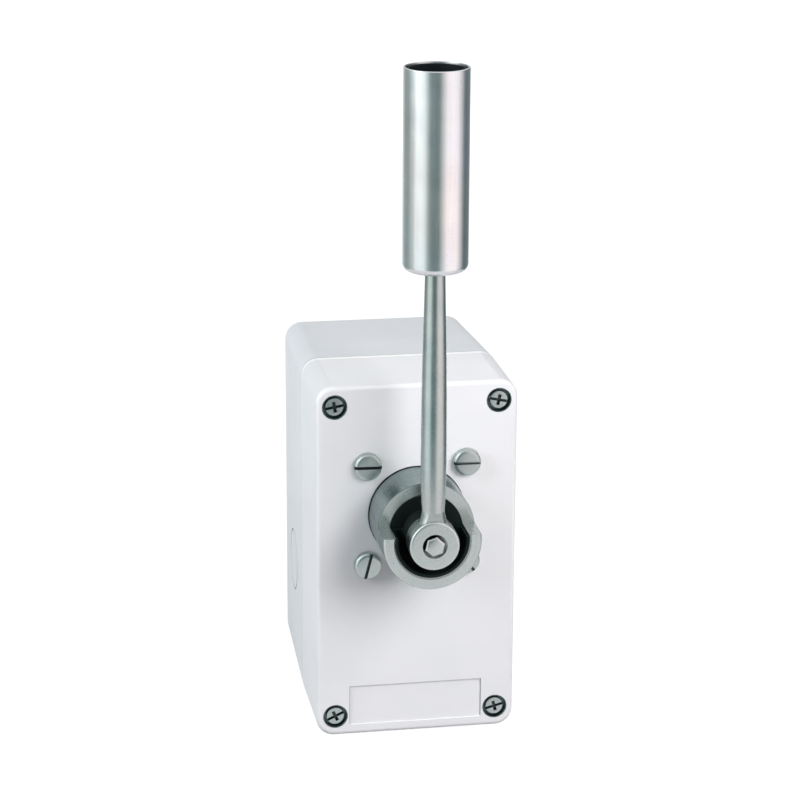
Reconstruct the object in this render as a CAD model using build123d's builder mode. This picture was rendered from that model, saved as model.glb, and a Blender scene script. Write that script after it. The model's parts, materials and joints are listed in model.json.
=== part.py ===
from build123d import *
import math
import os

os.makedirs("parts", exist_ok=True)

# The switch in its own frame, in millimetres: X to the right seen from the front, Z up, and the front
# faces -Y. The origin is the centre of the fixing holes on the enclosure's back face. Depths are given
# as distances in front of that face, so a depth of 64 lies at Y = -64.

# Fits
running_clearance = 0.04
thread_clearance = 0.05
sliding_clearance = 0.1
working_gap = 0.3

# Enclosure
enclosure_width = 80.0
enclosure_height = 146.0
base_depth = 64.0
cover_depth = 42.0
side_draft = 2.0
wall = 3.5
back_wall = 4.0
front_wall = 4.0
long_edge_radius = 7.0
inner_edge_radius = 3.5
front_edge_radius = 1.8
back_edge_radius = 1.5
tongue_inset = 1.5
tongue_thickness = 1.8
tongue_height = 2.5
gasket_thickness = 1.0

# Corner columns, their screws and inserts
screw_side_distance = 7.5
screw_end_distance = 8.25
column_radius = 5.4
cover_screw_radius = 2.0
cover_screw_head_radius = 3.5
cover_screw_head_height = 2.6
cover_screw_slot_width = 1.1
cover_screw_recess_depth = 1.5
counterbore_radius = 5.0
counterbore_depth = 3.2
insert_radius = 3.0
insert_length = 10.0
screw_hole_clearance = 0.25

# Fixing holes through the back wall
fixing_side_distance = 20.0
fixing_end_distance = 13.0
fixing_hole_radius = 2.6
fixing_boss_radius = 5.5
fixing_boss_height = 3.0

# Cable entry in the bottom wall, tapped M20 x 1.5
entry_depth = 30.0
entry_bore_radius = 9.2
entry_pad_radius = 14.0
entry_length = 8.0

# Moulded knock-out rings in the base's sides
knockout_depth = 32.0
knockout_height = -24.0
knockout_radius = 13.0
knockout_groove_width = 0.8
knockout_groove_depth = 0.5

# Label recess
label_width = 53.4
label_height = 16.5
label_end_distance = 12.5
label_recess_depth = 0.5

# Earth terminal
earth_side_distance = 16.0
earth_end_distance = 35.0
earth_boss_radius = 5.5
earth_boss_height = 8.0
earth_strip_width = 9.0
earth_strip_length = 13.0
earth_strip_thickness = 1.5
earth_screw_radius = 2.0
earth_screw_head_radius = 4.0
earth_screw_head_height = 2.8

# Shaft height above the enclosure's middle
pivot_height = 20.0

# Mechanism plate behind the cover
plate_width = 58.0
plate_height = 64.0
plate_thickness = 4.0
plate_corner_radius = 3.0
plate_gasket_thickness = 1.0
plate_screw_spacing_x = 39.4
plate_screw_spacing_z = 41.0
plate_screw_radius = 2.5
plate_screw_head_radius = 5.5
plate_screw_head_height = 3.4
plate_screw_slot_width = 1.6
plate_screw_slot_depth = 1.5

# Collar
collar_radius = 19.1
collar_bore_radius = 14.4
collar_front_reach = 35.3
collar_cutback_reach = 20.5
shoulder_rise = 2.2
shoulder_root_radius = 3.5
collar_edge_chamfer = 0.7
collar_neck_radius = 15.0
collar_recess_floor = 10.0
nut_thickness = 5.0
nut_radius = 19.0
nut_slot_width = 4.0
nut_slot_depth = 2.0
neck_overhang = 1.0
neck_seal_width = 1.8
neck_seal_thickness = 1.2
neck_seal_margin = 0.6

# Shaft
journal_radius = 6.0
rear_journal_radius = 5.5
seal_step_radius = 7.5
shaft_spigot_radius = 5.0
shaft_spigot_length = 4.0
shaft_spigot_flat = 4.2
thrust_washer_thickness = 1.0
thrust_washer_radius = 9.5
front_bush_radius = 9.0
front_bush_length = 22.0
seal_body_length = 13.0
seal_lining = 1.1
seal_lining_margin = 0.6
seal_sleeve_radius = 9.2
seal_groove_depth = 1.6
key_width = 3.0
key_length = 28.0
key_seat_radius = 3.9
key_top_radius = 6.9
ring_thickness = 1.2
ring_radius = 8.0
ring_groove_radius = 4.75
ring_gap = 3.0
shaft_tail = 2.5

# Lever hub, bolted to the shaft's end, with the rod welded to its top
hub_radius = 9.7
hub_front_reach = 39.8
hub_length = 9.6
hub_front_round = 1.0
hub_rear_chamfer = 0.4
hub_recess_radius = 4.8
hub_recess_depth = 2.5

# Lever rod
rod_foot_radius = 4.4
rod_bulge_radius = 4.9
rod_top_radius = 3.8
rod_spigot_radius = 3.0
rod_neck_height = 33.0
weld_reach = 1.2
rod_bulge_height = 59.0
clamp_screw_radius = 2.5
clamp_head_across_flats = 8.0
clamp_head_height = 3.5
clamp_head_chamfer = 0.7
clamp_screw_length = 16.0

# Roller
roller_bottom_height = 127.0
roller_length = 75.8
roller_radius = 12.3
roller_shell_wall = 0.9
roller_edge_radius = 3.0
core_bore_length = 49.0
core_cup_radius = 10.3
core_top_margin = 0.8
washer_pocket_depth = 4.2
washer_pocket_radius = 7.5
washer_radius = 6.8
washer_thickness = 1.0
roller_nut_across_flats = 8.0
roller_nut_height = 4.5
spigot_overhang = 1.5

# Cage
pillar_radius = 4.0
pillar_spacing_x = 48.0
pillar_spacing_z = 54.0
pillar_spigot_radius = 2.5
pillar_screw_radius = 2.0
pillar_screw_head_radius = 3.5
pillar_screw_head_height = 2.6
pillar_screw_length = 11.0
rear_plate_thickness = 3.0
rear_bush_radius = 8.0
rear_flange_radius = 10.0
rear_flange_thickness = 1.2

# Centring spring, its carrier and its anchor
spring_wire_radius = 1.0
spring_radius = 10.0
spring_pitch = 2.4
spring_turns = 2.5
spring_leg = 27.0
carrier_sleeve_radius = 8.3
carrier_flange_radius = 13.0
carrier_flange_thickness = 2.5
carrier_length = 12.0
carrier_lug_reach = 16.0
lug_thickness = 4.0
anchor_reach = 24.5
anchor_length = 18.0

# Cams and switches
cam_radius = 10.0
cam_thickness = 5.0
cam_boss_radius = 8.2
front_cam_boss = 3.3
lever_range_deg = 60.0
plunger_travel = 1.5
cam_flank_deg = 80.0
cam_gap = 0.25
switch_length = 28.0
switch_thickness = 10.4
switch_height = 16.0
switch_top_drop = 13.5
switch_wall = 1.5
switch_lid_thickness = 1.0
switch_screw_spacing = 22.2
switch_screw_drop = 13.0
switch_screw_radius = 1.5
switch_screw_head_radius = 2.75
switch_screw_head_height = 1.8
switch_boss_radius = 2.7
barrier_thickness = 0.6
barrier_margin = 1.2
plunger_radius = 1.5
plunger_flange_radius = 2.6
plunger_flange_thickness = 1.2
plunger_flange_drop = 4.3
blade_thickness = 0.4
blade_width = 4.0
blade_length = 19.0
terminal_thickness = 0.8
terminal_width = 4.8
terminal_reach = 6.0
terminal_spacing = 16.0
contact_gap = 0.8

# Places along the depth, measured in front of the back face
parting = base_depth
front_face = base_depth + cover_depth
cover_inside = front_face - front_wall
plate_front = cover_inside - plate_gasket_thickness
plate_back = plate_front - plate_thickness
neck_back = plate_back - nut_thickness - neck_overhang
recess_floor = front_face + collar_recess_floor
shaft_step = recess_floor + thrust_washer_thickness + running_clearance
hub_front = front_face + hub_front_reach
hub_back = hub_front - hub_length
rod_axis_depth = hub_front - hub_length / 2
carrier_front = neck_back - neck_overhang
carrier_back = carrier_front - carrier_length
front_cam_front = carrier_back - front_cam_boss
front_cam_back = front_cam_front - cam_thickness
switch_pitch = switch_thickness + barrier_thickness
rear_cam_front = front_cam_front - switch_pitch
rear_cam_back = rear_cam_front - cam_thickness
rear_plate_front = (rear_cam_front + rear_cam_back) / 2 - switch_thickness / 2
rear_plate_back = rear_plate_front - rear_plate_thickness
tail_ring_front = rear_plate_back - working_gap
shaft_end = tail_ring_front - ring_thickness - shaft_tail
switch_backs = {"rear": rear_plate_front, "front": rear_plate_front + switch_pitch}

# Places across and in height
half_width = enclosure_width / 2
half_height = enclosure_height / 2
cover_screw_x = half_width - screw_side_distance
cover_screw_z = half_height - screw_end_distance
fixing_x = half_width - fixing_side_distance
fixing_z = half_height - fixing_end_distance
earth_x = half_width - earth_side_distance
earth_height = earth_end_distance - half_height
label_centre_height = label_end_distance - half_height
roller_top_height = roller_bottom_height + roller_length
switch_top = pivot_height - switch_top_drop
switch_bottom = switch_top - switch_height
switch_screw_height = pivot_height - switch_screw_drop - switch_top_drop
plunger_tip = pivot_height - cam_radius - cam_gap
blade_top = switch_top - plunger_flange_drop - plunger_flange_thickness - plunger_travel - cam_gap


def front_plane(depth):
    """Plane parallel to the front, at a distance in front of the back face."""
    return Plane.XZ.offset(depth)


def shaft_plane(depth):
    """Plane across the shaft, with its origin on the shaft's axis."""
    return Plane(origin=(0, -depth, pivot_height), x_dir=(1, 0, 0), z_dir=(0, -1, 0))


def screw_row_plane(depth):
    """Plane across the two screws that hold the switches, with its origin midway between them."""
    return Plane(origin=(0, -depth, switch_screw_height), x_dir=(1, 0, 0), z_dir=(0, -1, 0))


def finish(builder, label):
    """Name a finished piece and write its STEP file."""
    builder.part.label = label
    export_step(builder.part, f"parts/{label}.step")


# A turned piece's outline is drawn as (depth, radius) on this plane and turned about the shaft's axis
turning_plane = Plane(origin=(0, 0, pivot_height), x_dir=(0, -1, 0), z_dir=(-1, 0, 0))
shaft_axis = Axis((0, 0, pivot_height), (0, -1, 0))

# The lever's own outlines are drawn as (radius, height) on this plane and turned about the rod's axis
rod_plane = Plane(origin=(0, -rod_axis_depth, 0), x_dir=(1, 0, 0), z_dir=(0, -1, 0))
rod_axis = Axis((0, -rod_axis_depth, 0), (0, 0, 1))

cover_screw_places = GridLocations(2 * cover_screw_x, 2 * cover_screw_z, 2, 2)
fixing_places = GridLocations(2 * fixing_x, 2 * fixing_z, 2, 2)
plate_screw_places = GridLocations(plate_screw_spacing_x, plate_screw_spacing_z, 2, 2)
pillar_places = GridLocations(pillar_spacing_x, pillar_spacing_z, 2, 2)
switch_screw_places = GridLocations(switch_screw_spacing, 1, 2, 1)

# Base: a drafted box with corner columns, fixing bosses, an earth boss and a tapped cable entry
with BuildPart() as base_box:
    with BuildSketch(front_plane(0)):
        RectangleRounded(enclosure_width - 2 * side_draft, enclosure_height - 2 * side_draft, long_edge_radius)
    with BuildSketch(front_plane(parting)):
        RectangleRounded(enclosure_width, enclosure_height, long_edge_radius)
    loft()
    fillet(base_box.faces().sort_by(Axis.Y)[-1].edges(), back_edge_radius)
    floor_draft = side_draft * (1 - back_wall / base_depth)
    for depth, draft in ((back_wall, floor_draft), (parting, 0)):
        with BuildSketch(front_plane(depth)):
            inner_width = enclosure_width - 2 * (wall + draft)
            inner_height = enclosure_height - 2 * (wall + draft)
            RectangleRounded(inner_width, inner_height, inner_edge_radius)
    loft(mode=Mode.SUBTRACT)
    with BuildSketch(front_plane(back_wall)):
        with cover_screw_places:
            Circle(column_radius)
    extrude(amount=base_depth - back_wall)
    with BuildSketch(front_plane(parting)):
        tongue_width = enclosure_width - 2 * tongue_inset
        tongue_height_outline = enclosure_height - 2 * tongue_inset
        RectangleRounded(tongue_width, tongue_height_outline, long_edge_radius - tongue_inset)
        RectangleRounded(
            tongue_width - 2 * tongue_thickness,
            tongue_height_outline - 2 * tongue_thickness,
            long_edge_radius - tongue_inset - tongue_thickness,
            mode=Mode.SUBTRACT,
        )
    extrude(amount=tongue_height)
    with BuildSketch(front_plane(back_wall)):
        with fixing_places:
            Circle(fixing_boss_radius)
    extrude(amount=fixing_boss_height)
    with BuildSketch(front_plane(back_wall)):
        with Locations((earth_x, earth_height)):
            Circle(earth_boss_radius)
    extrude(amount=earth_boss_height)
    with BuildSketch(Plane.XY.offset(-half_height)):
        with Locations((0, -entry_depth)):
            Circle(entry_pad_radius)
    extrude(amount=entry_length)
    with BuildSketch(Plane.XY.offset(-half_height)):
        with Locations((0, -entry_depth)):
            Circle(entry_bore_radius)
    extrude(amount=entry_length, mode=Mode.SUBTRACT)
    with BuildSketch(front_plane(0)):
        with fixing_places:
            Circle(fixing_hole_radius)
    extrude(amount=back_wall + fixing_boss_height, mode=Mode.SUBTRACT)
    with BuildSketch(front_plane(parting)):
        with cover_screw_places:
            Circle(insert_radius)
    extrude(amount=-insert_length, mode=Mode.SUBTRACT)
    with BuildSketch(front_plane(back_wall)):
        with Locations((earth_x, earth_height)):
            Circle(earth_screw_radius + thread_clearance)
    extrude(amount=earth_boss_height, mode=Mode.SUBTRACT)
    knockout_wall = half_width - side_draft * (1 - knockout_depth / base_depth)
    for side in (-1, 1):
        with BuildSketch(Plane.YZ.offset(side * knockout_wall)):
            with Locations((-knockout_depth, knockout_height)):
                Circle(knockout_radius)
                Circle(knockout_radius - knockout_groove_width, mode=Mode.SUBTRACT)
        extrude(amount=knockout_groove_depth, both=True, mode=Mode.SUBTRACT)
finish(base_box, "base_box")

# Cover: a shell with corner columns, a bare label recess and holes for the collar and its plate
with BuildPart() as cover:
    with BuildSketch(front_plane(parting)):
        RectangleRounded(enclosure_width, enclosure_height, long_edge_radius)
    extrude(amount=cover_depth)
    fillet(cover.faces().sort_by(Axis.Y)[0].edges(), front_edge_radius)
    with BuildSketch(front_plane(parting)):
        Rectangle(enclosure_width - 2 * wall, enclosure_height - 2 * wall)
        with cover_screw_places:
            Circle(column_radius, mode=Mode.SUBTRACT)
    extrude(amount=cover_depth - front_wall, mode=Mode.SUBTRACT)
    with BuildSketch(front_plane(parting)):
        rebate_width = enclosure_width - 2 * (tongue_inset - sliding_clearance)
        rebate_height = enclosure_height - 2 * (tongue_inset - sliding_clearance)
        RectangleRounded(rebate_width, rebate_height, long_edge_radius - tongue_inset + sliding_clearance)
        RectangleRounded(
            enclosure_width - 2 * (wall + sliding_clearance),
            enclosure_height - 2 * (wall + sliding_clearance),
            long_edge_radius - tongue_inset - tongue_thickness - sliding_clearance,
            mode=Mode.SUBTRACT,
        )
    extrude(amount=tongue_height + gasket_thickness, mode=Mode.SUBTRACT)
    with BuildSketch(front_plane(parting)):
        with cover_screw_places:
            Circle(cover_screw_radius + screw_hole_clearance)
    extrude(amount=cover_depth, mode=Mode.SUBTRACT)
    with BuildSketch(front_plane(front_face)):
        with cover_screw_places:
            Circle(counterbore_radius)
    extrude(amount=-counterbore_depth, mode=Mode.SUBTRACT)
    with BuildSketch(front_plane(front_face)):
        with Locations((0, label_centre_height)):
            RectangleRounded(label_width, label_height, label_recess_depth)
    extrude(amount=-label_recess_depth, mode=Mode.SUBTRACT)
    with BuildSketch(shaft_plane(front_face)):
        Circle(collar_neck_radius + sliding_clearance)
        with plate_screw_places:
            Circle(plate_screw_radius + screw_hole_clearance)
    extrude(amount=-front_wall, mode=Mode.SUBTRACT)
finish(cover, "cover")

# Gasket: lies in the cover's rebate and is pressed by the base's tongue
with BuildPart() as cover_gasket:
    with BuildSketch(front_plane(parting + tongue_height)):
        RectangleRounded(tongue_width, tongue_height_outline, long_edge_radius - tongue_inset)
        RectangleRounded(
            tongue_width - 2 * tongue_thickness,
            tongue_height_outline - 2 * tongue_thickness,
            long_edge_radius - tongue_inset - tongue_thickness,
            mode=Mode.SUBTRACT,
        )
    extrude(amount=gasket_thickness)
finish(cover_gasket, "cover_gasket")

# Brass inserts moulded into the base's columns
with BuildPart() as threaded_inserts:
    with BuildSketch(front_plane(parting - insert_length)):
        with cover_screw_places:
            Circle(insert_radius)
            Circle(cover_screw_radius + thread_clearance, mode=Mode.SUBTRACT)
    extrude(amount=insert_length)
finish(threaded_inserts, "threaded_inserts")

# Cover screws: cheese heads with a slot and a cross, each turned a little differently
head_floor = front_face - counterbore_depth
slot_turns_deg = {(-1, 1): 10.0, (1, 1): -12.0, (-1, -1): 25.0, (1, -1): 15.0}
with BuildPart() as cover_screws:
    with BuildSketch(front_plane(parting - insert_length)):
        with cover_screw_places:
            Circle(cover_screw_radius)
    extrude(amount=head_floor - parting + insert_length)
    with BuildSketch(front_plane(head_floor)):
        with cover_screw_places:
            Circle(cover_screw_head_radius)
    extrude(amount=cover_screw_head_height)
    rims = cover_screws.edges().group_by(Axis.Y)[0]
    chamfer(rims, cover_screw_slot_width / 3)
    with BuildSketch(front_plane(head_floor + cover_screw_head_height)):
        for (side, level), turn in slot_turns_deg.items():
            with Locations((side * cover_screw_x, level * cover_screw_z)):
                Rectangle(2 * cover_screw_head_radius, cover_screw_slot_width, rotation=turn)
                Rectangle(cover_screw_slot_width, cover_screw_head_radius, rotation=turn)
    extrude(amount=-cover_screw_recess_depth, mode=Mode.SUBTRACT)
finish(cover_screws, "cover_screws")

# Earth terminal: a brass strip on its boss, held by a screw
earth_boss_top = back_wall + earth_boss_height
with BuildPart() as earth_terminal:
    with BuildSketch(front_plane(earth_boss_top)):
        with Locations((earth_x, earth_height)):
            Rectangle(earth_strip_width, earth_strip_length)
            Circle(earth_screw_radius + thread_clearance, mode=Mode.SUBTRACT)
    extrude(amount=earth_strip_thickness)
finish(earth_terminal, "earth_terminal")

with BuildPart() as earth_screw:
    with BuildSketch(front_plane(back_wall)):
        with Locations((earth_x, earth_height)):
            Circle(earth_screw_radius)
    extrude(amount=earth_boss_height + earth_strip_thickness)
    with BuildSketch(front_plane(earth_boss_top + earth_strip_thickness)):
        with Locations((earth_x, earth_height)):
            Circle(earth_screw_head_radius)
            Rectangle(2 * earth_screw_head_radius, cover_screw_slot_width, mode=Mode.SUBTRACT)
    extrude(amount=earth_screw_head_height)
finish(earth_screw, "earth_screw")

# Mechanism plate and its gasket, clamped behind the cover
with BuildPart() as mechanism_plate:
    with BuildSketch(shaft_plane(plate_back)):
        RectangleRounded(plate_width, plate_height, plate_corner_radius)
        Circle(collar_neck_radius + sliding_clearance, mode=Mode.SUBTRACT)
        with plate_screw_places:
            Circle(plate_screw_radius + thread_clearance, mode=Mode.SUBTRACT)
        with pillar_places:
            Circle(pillar_spigot_radius, mode=Mode.SUBTRACT)
    extrude(amount=plate_thickness)
finish(mechanism_plate, "mechanism_plate")

with BuildPart() as plate_gasket:
    with BuildSketch(shaft_plane(plate_front)):
        RectangleRounded(plate_width, plate_height, plate_corner_radius)
        Circle(collar_neck_radius + sliding_clearance, mode=Mode.SUBTRACT)
        with plate_screw_places:
            Circle(plate_screw_radius + screw_hole_clearance, mode=Mode.SUBTRACT)
    extrude(amount=plate_gasket_thickness)
finish(plate_gasket, "plate_gasket")

# Slotted pan-head screws that hold the plate to the cover
plate_slot_turns_deg = {(-1, 1): 0.0, (1, 1): 2.0, (-1, -1): 80.0, (1, -1): 100.0}
with BuildPart() as plate_screws:
    with BuildSketch(shaft_plane(plate_back)):
        with plate_screw_places:
            Circle(plate_screw_radius)
    extrude(amount=front_face - plate_back)
    with BuildSketch(shaft_plane(front_face)):
        with plate_screw_places:
            Circle(plate_screw_head_radius)
    extrude(amount=plate_screw_head_height)
    rims = plate_screws.edges().group_by(Axis.Y)[0]
    fillet(rims, plate_screw_head_height / 2)
    with BuildSketch(shaft_plane(front_face + plate_screw_head_height)):
        for (side, level), turn in plate_slot_turns_deg.items():
            with Locations((side * plate_screw_spacing_x / 2, level * plate_screw_spacing_z / 2)):
                Rectangle(2 * plate_screw_head_radius, plate_screw_slot_width, rotation=turn)
    extrude(amount=-plate_screw_slot_depth, mode=Mode.SUBTRACT)
finish(plate_screws, "plate_screws")

# Collar: a turned bearing body whose upper half is cut back, which leaves two shoulders for the lever
collar_front = front_face + collar_front_reach
with BuildPart() as collar:
    with BuildSketch(turning_plane):
        with BuildLine():
            Polyline(
                (neck_back, front_bush_radius),
                (neck_back, collar_neck_radius),
                (front_face, collar_neck_radius),
                (front_face, collar_neck_radius + neck_seal_margin),
                (front_face + neck_seal_thickness, collar_neck_radius + neck_seal_margin),
                (front_face + neck_seal_thickness, collar_neck_radius + neck_seal_margin + neck_seal_width),
                (front_face, collar_neck_radius + neck_seal_margin + neck_seal_width),
                (front_face, collar_radius),
                (collar_front - collar_edge_chamfer, collar_radius),
                (collar_front, collar_radius - collar_edge_chamfer),
                (collar_front, collar_bore_radius + collar_edge_chamfer),
                (collar_front - collar_edge_chamfer, collar_bore_radius),
                (recess_floor, collar_bore_radius),
                (recess_floor, front_bush_radius),
                close=True,
            )
        make_face()
    revolve(axis=shaft_axis)
    with BuildSketch(turning_plane):
        with Locations((front_face + collar_cutback_reach, shoulder_rise)):
            Rectangle(collar_front_reach, 2 * collar_radius, align=(Align.MIN, Align.MIN))
        root = vertices().group_by(Axis.Y)[-1].sort_by(Axis.Z)[0]
        fillet(root, shoulder_root_radius)
    extrude(amount=2 * collar_radius, both=True, mode=Mode.SUBTRACT)
finish(collar, "collar")

with BuildPart() as collar_seal:
    with BuildSketch(shaft_plane(front_face)):
        Circle(collar_neck_radius + neck_seal_margin + neck_seal_width)
        Circle(collar_neck_radius + neck_seal_margin, mode=Mode.SUBTRACT)
    extrude(amount=neck_seal_thickness)
finish(collar_seal, "collar_seal")

# Slotted ring nut behind the plate
with BuildPart() as collar_nut:
    with BuildSketch(shaft_plane(plate_back)):
        Circle(nut_radius)
        Circle(collar_neck_radius + thread_clearance, mode=Mode.SUBTRACT)
        with PolarLocations(nut_radius, 4):
            Rectangle(2 * nut_slot_depth, nut_slot_width, mode=Mode.SUBTRACT)
    extrude(amount=-nut_thickness)
finish(collar_nut, "collar_nut")

# Bearings and seal of the shaft
with BuildPart() as front_bush:
    with BuildSketch(shaft_plane(recess_floor)):
        Circle(front_bush_radius)
        Circle(journal_radius + running_clearance, mode=Mode.SUBTRACT)
    extrude(amount=-front_bush_length)
finish(front_bush, "front_bush")

with BuildPart() as thrust_washer:
    with BuildSketch(shaft_plane(recess_floor)):
        Circle(thrust_washer_radius)
        Circle(journal_radius + sliding_clearance, mode=Mode.SUBTRACT)
    extrude(amount=thrust_washer_thickness)
finish(thrust_washer, "thrust_washer")

# The black shaft seal also lines the collar, and its lining is cut back with the collar's upper half
seal_back = recess_floor + thrust_washer_thickness
seal_body_front = seal_back + seal_body_length
lining_front = collar_front - seal_lining_margin
lining_radius = collar_bore_radius - seal_lining
with BuildPart() as shaft_seal:
    with BuildSketch(turning_plane):
        lip_radius = seal_step_radius + running_clearance
        mid_radius = (lip_radius + lining_radius) / 2
        with BuildLine():
            Polyline(
                (seal_back, lip_radius),
                (seal_back, collar_bore_radius),
                (lining_front, collar_bore_radius),
                (lining_front, lining_radius),
                (seal_body_front, lining_radius),
                (seal_body_front - seal_groove_depth, mid_radius),
                (seal_body_front, lip_radius),
                close=True,
            )
        make_face()
    revolve(axis=shaft_axis)
    with BuildSketch(turning_plane):
        with Locations((front_face + collar_cutback_reach + seal_lining_margin, shoulder_rise - seal_lining_margin)):
            Rectangle(collar_front_reach, 2 * collar_radius, align=(Align.MIN, Align.MIN))
    extrude(amount=2 * collar_radius, both=True, mode=Mode.SUBTRACT)
    with BuildSketch(shaft_plane(seal_back)):
        Circle(seal_sleeve_radius)
        Circle(lip_radius, mode=Mode.SUBTRACT)
    extrude(amount=hub_back - working_gap - seal_back)
finish(shaft_seal, "shaft_seal")

# Rear bush with the flange that the rear cam's ring runs against
with BuildPart() as rear_bush:
    with BuildSketch(shaft_plane(rear_plate_back)):
        Circle(rear_bush_radius)
        Circle(rear_journal_radius + running_clearance, mode=Mode.SUBTRACT)
    extrude(amount=rear_plate_thickness)
    with BuildSketch(shaft_plane(rear_plate_front)):
        Circle(rear_flange_radius)
        Circle(rear_journal_radius + running_clearance, mode=Mode.SUBTRACT)
    extrude(amount=rear_flange_thickness)
finish(rear_bush, "rear_bush")

# Cage: four pillars riveted into the plate carry the rear plate
with BuildPart() as pillars:
    with BuildSketch(shaft_plane(rear_plate_front)):
        with pillar_places:
            Circle(pillar_radius)
    extrude(amount=plate_back - rear_plate_front)
    with BuildSketch(shaft_plane(plate_back)):
        with pillar_places:
            Circle(pillar_spigot_radius)
    extrude(amount=plate_thickness)
    with BuildSketch(shaft_plane(rear_plate_front)):
        with pillar_places:
            Circle(pillar_screw_radius + thread_clearance)
    extrude(amount=pillar_screw_length, mode=Mode.SUBTRACT)
finish(pillars, "pillars")

with BuildPart() as rear_plate:
    with BuildSketch(shaft_plane(rear_plate_back)):
        RectangleRounded(plate_width, plate_height, plate_corner_radius)
        Circle(rear_bush_radius, mode=Mode.SUBTRACT)
        with pillar_places:
            Circle(pillar_screw_radius + screw_hole_clearance, mode=Mode.SUBTRACT)
    extrude(amount=rear_plate_thickness)
    with BuildSketch(screw_row_plane(rear_plate_back)):
        with switch_screw_places:
            Circle(switch_screw_radius + thread_clearance)
    extrude(amount=rear_plate_thickness, mode=Mode.SUBTRACT)
finish(rear_plate, "rear_plate")

with BuildPart() as pillar_screws:
    with BuildSketch(shaft_plane(rear_plate_back)):
        with pillar_places:
            Circle(pillar_screw_head_radius)
    extrude(amount=-pillar_screw_head_height)
    with BuildSketch(shaft_plane(rear_plate_back)):
        with pillar_places:
            Circle(pillar_screw_radius)
    extrude(amount=pillar_screw_length)
    with BuildSketch(shaft_plane(rear_plate_back - pillar_screw_head_height)):
        with pillar_places:
            Rectangle(2 * pillar_screw_head_radius, cover_screw_slot_width)
    extrude(amount=cover_screw_slot_width, mode=Mode.SUBTRACT)
finish(pillar_screws, "pillar_screws")

# Pivot shaft: flatted spigot, seal step, two journals, ring grooves, keyway and the clamp screw's hole
cam_ring_front = rear_cam_back
clamp_seat = hub_front - hub_recess_depth
with BuildPart() as pivot_shaft:
    with BuildSketch(turning_plane):
        with BuildLine():
            Polyline(
                (shaft_end, 0),
                (shaft_end, rear_journal_radius),
                (tail_ring_front - ring_thickness, rear_journal_radius),
                (tail_ring_front - ring_thickness, ring_groove_radius),
                (tail_ring_front, ring_groove_radius),
                (tail_ring_front, rear_journal_radius),
                (cam_ring_front - ring_thickness, rear_journal_radius),
                (cam_ring_front - ring_thickness, ring_groove_radius),
                (cam_ring_front, ring_groove_radius),
                (cam_ring_front, rear_journal_radius),
                (carrier_front, rear_journal_radius),
                (carrier_front, journal_radius),
                (shaft_step, journal_radius),
                (shaft_step, seal_step_radius),
                (hub_back, seal_step_radius),
                (hub_back, shaft_spigot_radius),
                (hub_back + shaft_spigot_length, shaft_spigot_radius),
                (hub_back + shaft_spigot_length, 0),
                close=True,
            )
        make_face()
    revolve(axis=shaft_axis)
    with BuildSketch(shaft_plane(hub_back)):
        Rectangle(2 * hub_radius, 2 * hub_radius)
        Rectangle(2 * hub_radius, 2 * shaft_spigot_flat, mode=Mode.SUBTRACT)
    extrude(amount=shaft_spigot_length, mode=Mode.SUBTRACT)
    with BuildSketch(shaft_plane(clamp_seat)):
        Circle(clamp_screw_radius + thread_clearance)
    extrude(amount=-clamp_screw_length - working_gap, mode=Mode.SUBTRACT)
    with BuildSketch(shaft_plane(carrier_front)):
        with Locations((0, key_seat_radius)):
            Rectangle(key_width, key_top_radius - key_seat_radius, align=(Align.CENTER, Align.MIN))
    extrude(amount=-key_length, mode=Mode.SUBTRACT)
finish(pivot_shaft, "pivot_shaft")

with BuildPart() as shaft_key:
    with BuildSketch(shaft_plane(carrier_front)):
        with Locations((0, key_seat_radius)):
            Rectangle(key_width, key_top_radius - key_seat_radius, align=(Align.CENTER, Align.MIN))
    extrude(amount=-key_length)
finish(shaft_key, "shaft_key")

with BuildPart() as retaining_rings:
    for ring_front in (tail_ring_front, cam_ring_front):
        with BuildSketch(shaft_plane(ring_front)):
            Circle(ring_radius)
            Circle(ring_groove_radius, mode=Mode.SUBTRACT)
            Rectangle(ring_gap, ring_radius, align=(Align.CENTER, Align.MAX), mode=Mode.SUBTRACT)
        extrude(amount=-ring_thickness)
finish(retaining_rings, "retaining_rings")

# Lever hub: a short boss with a recess for the clamp screw's head and a flatted socket for the shaft
with BuildPart() as lever_hub:
    with BuildSketch(shaft_plane(hub_back)):
        Circle(hub_radius)
    extrude(amount=hub_length)
    fillet(lever_hub.edges().sort_by(Axis.Y)[0], hub_front_round)
    chamfer(lever_hub.edges().sort_by(Axis.Y)[-1], hub_rear_chamfer)
    with BuildSketch(shaft_plane(hub_front)):
        Circle(hub_recess_radius)
    extrude(amount=-hub_recess_depth, mode=Mode.SUBTRACT)
    with BuildSketch(shaft_plane(hub_back)):
        Circle(shaft_spigot_radius + running_clearance)
        Rectangle(2 * hub_radius, 2 * (shaft_spigot_flat + running_clearance), mode=Mode.INTERSECT)
    extrude(amount=shaft_spigot_length + sliding_clearance, mode=Mode.SUBTRACT)
    with BuildSketch(shaft_plane(hub_back)):
        Circle(clamp_screw_radius + screw_hole_clearance)
    extrude(amount=hub_length, mode=Mode.SUBTRACT)
finish(lever_hub, "lever_hub")

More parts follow.
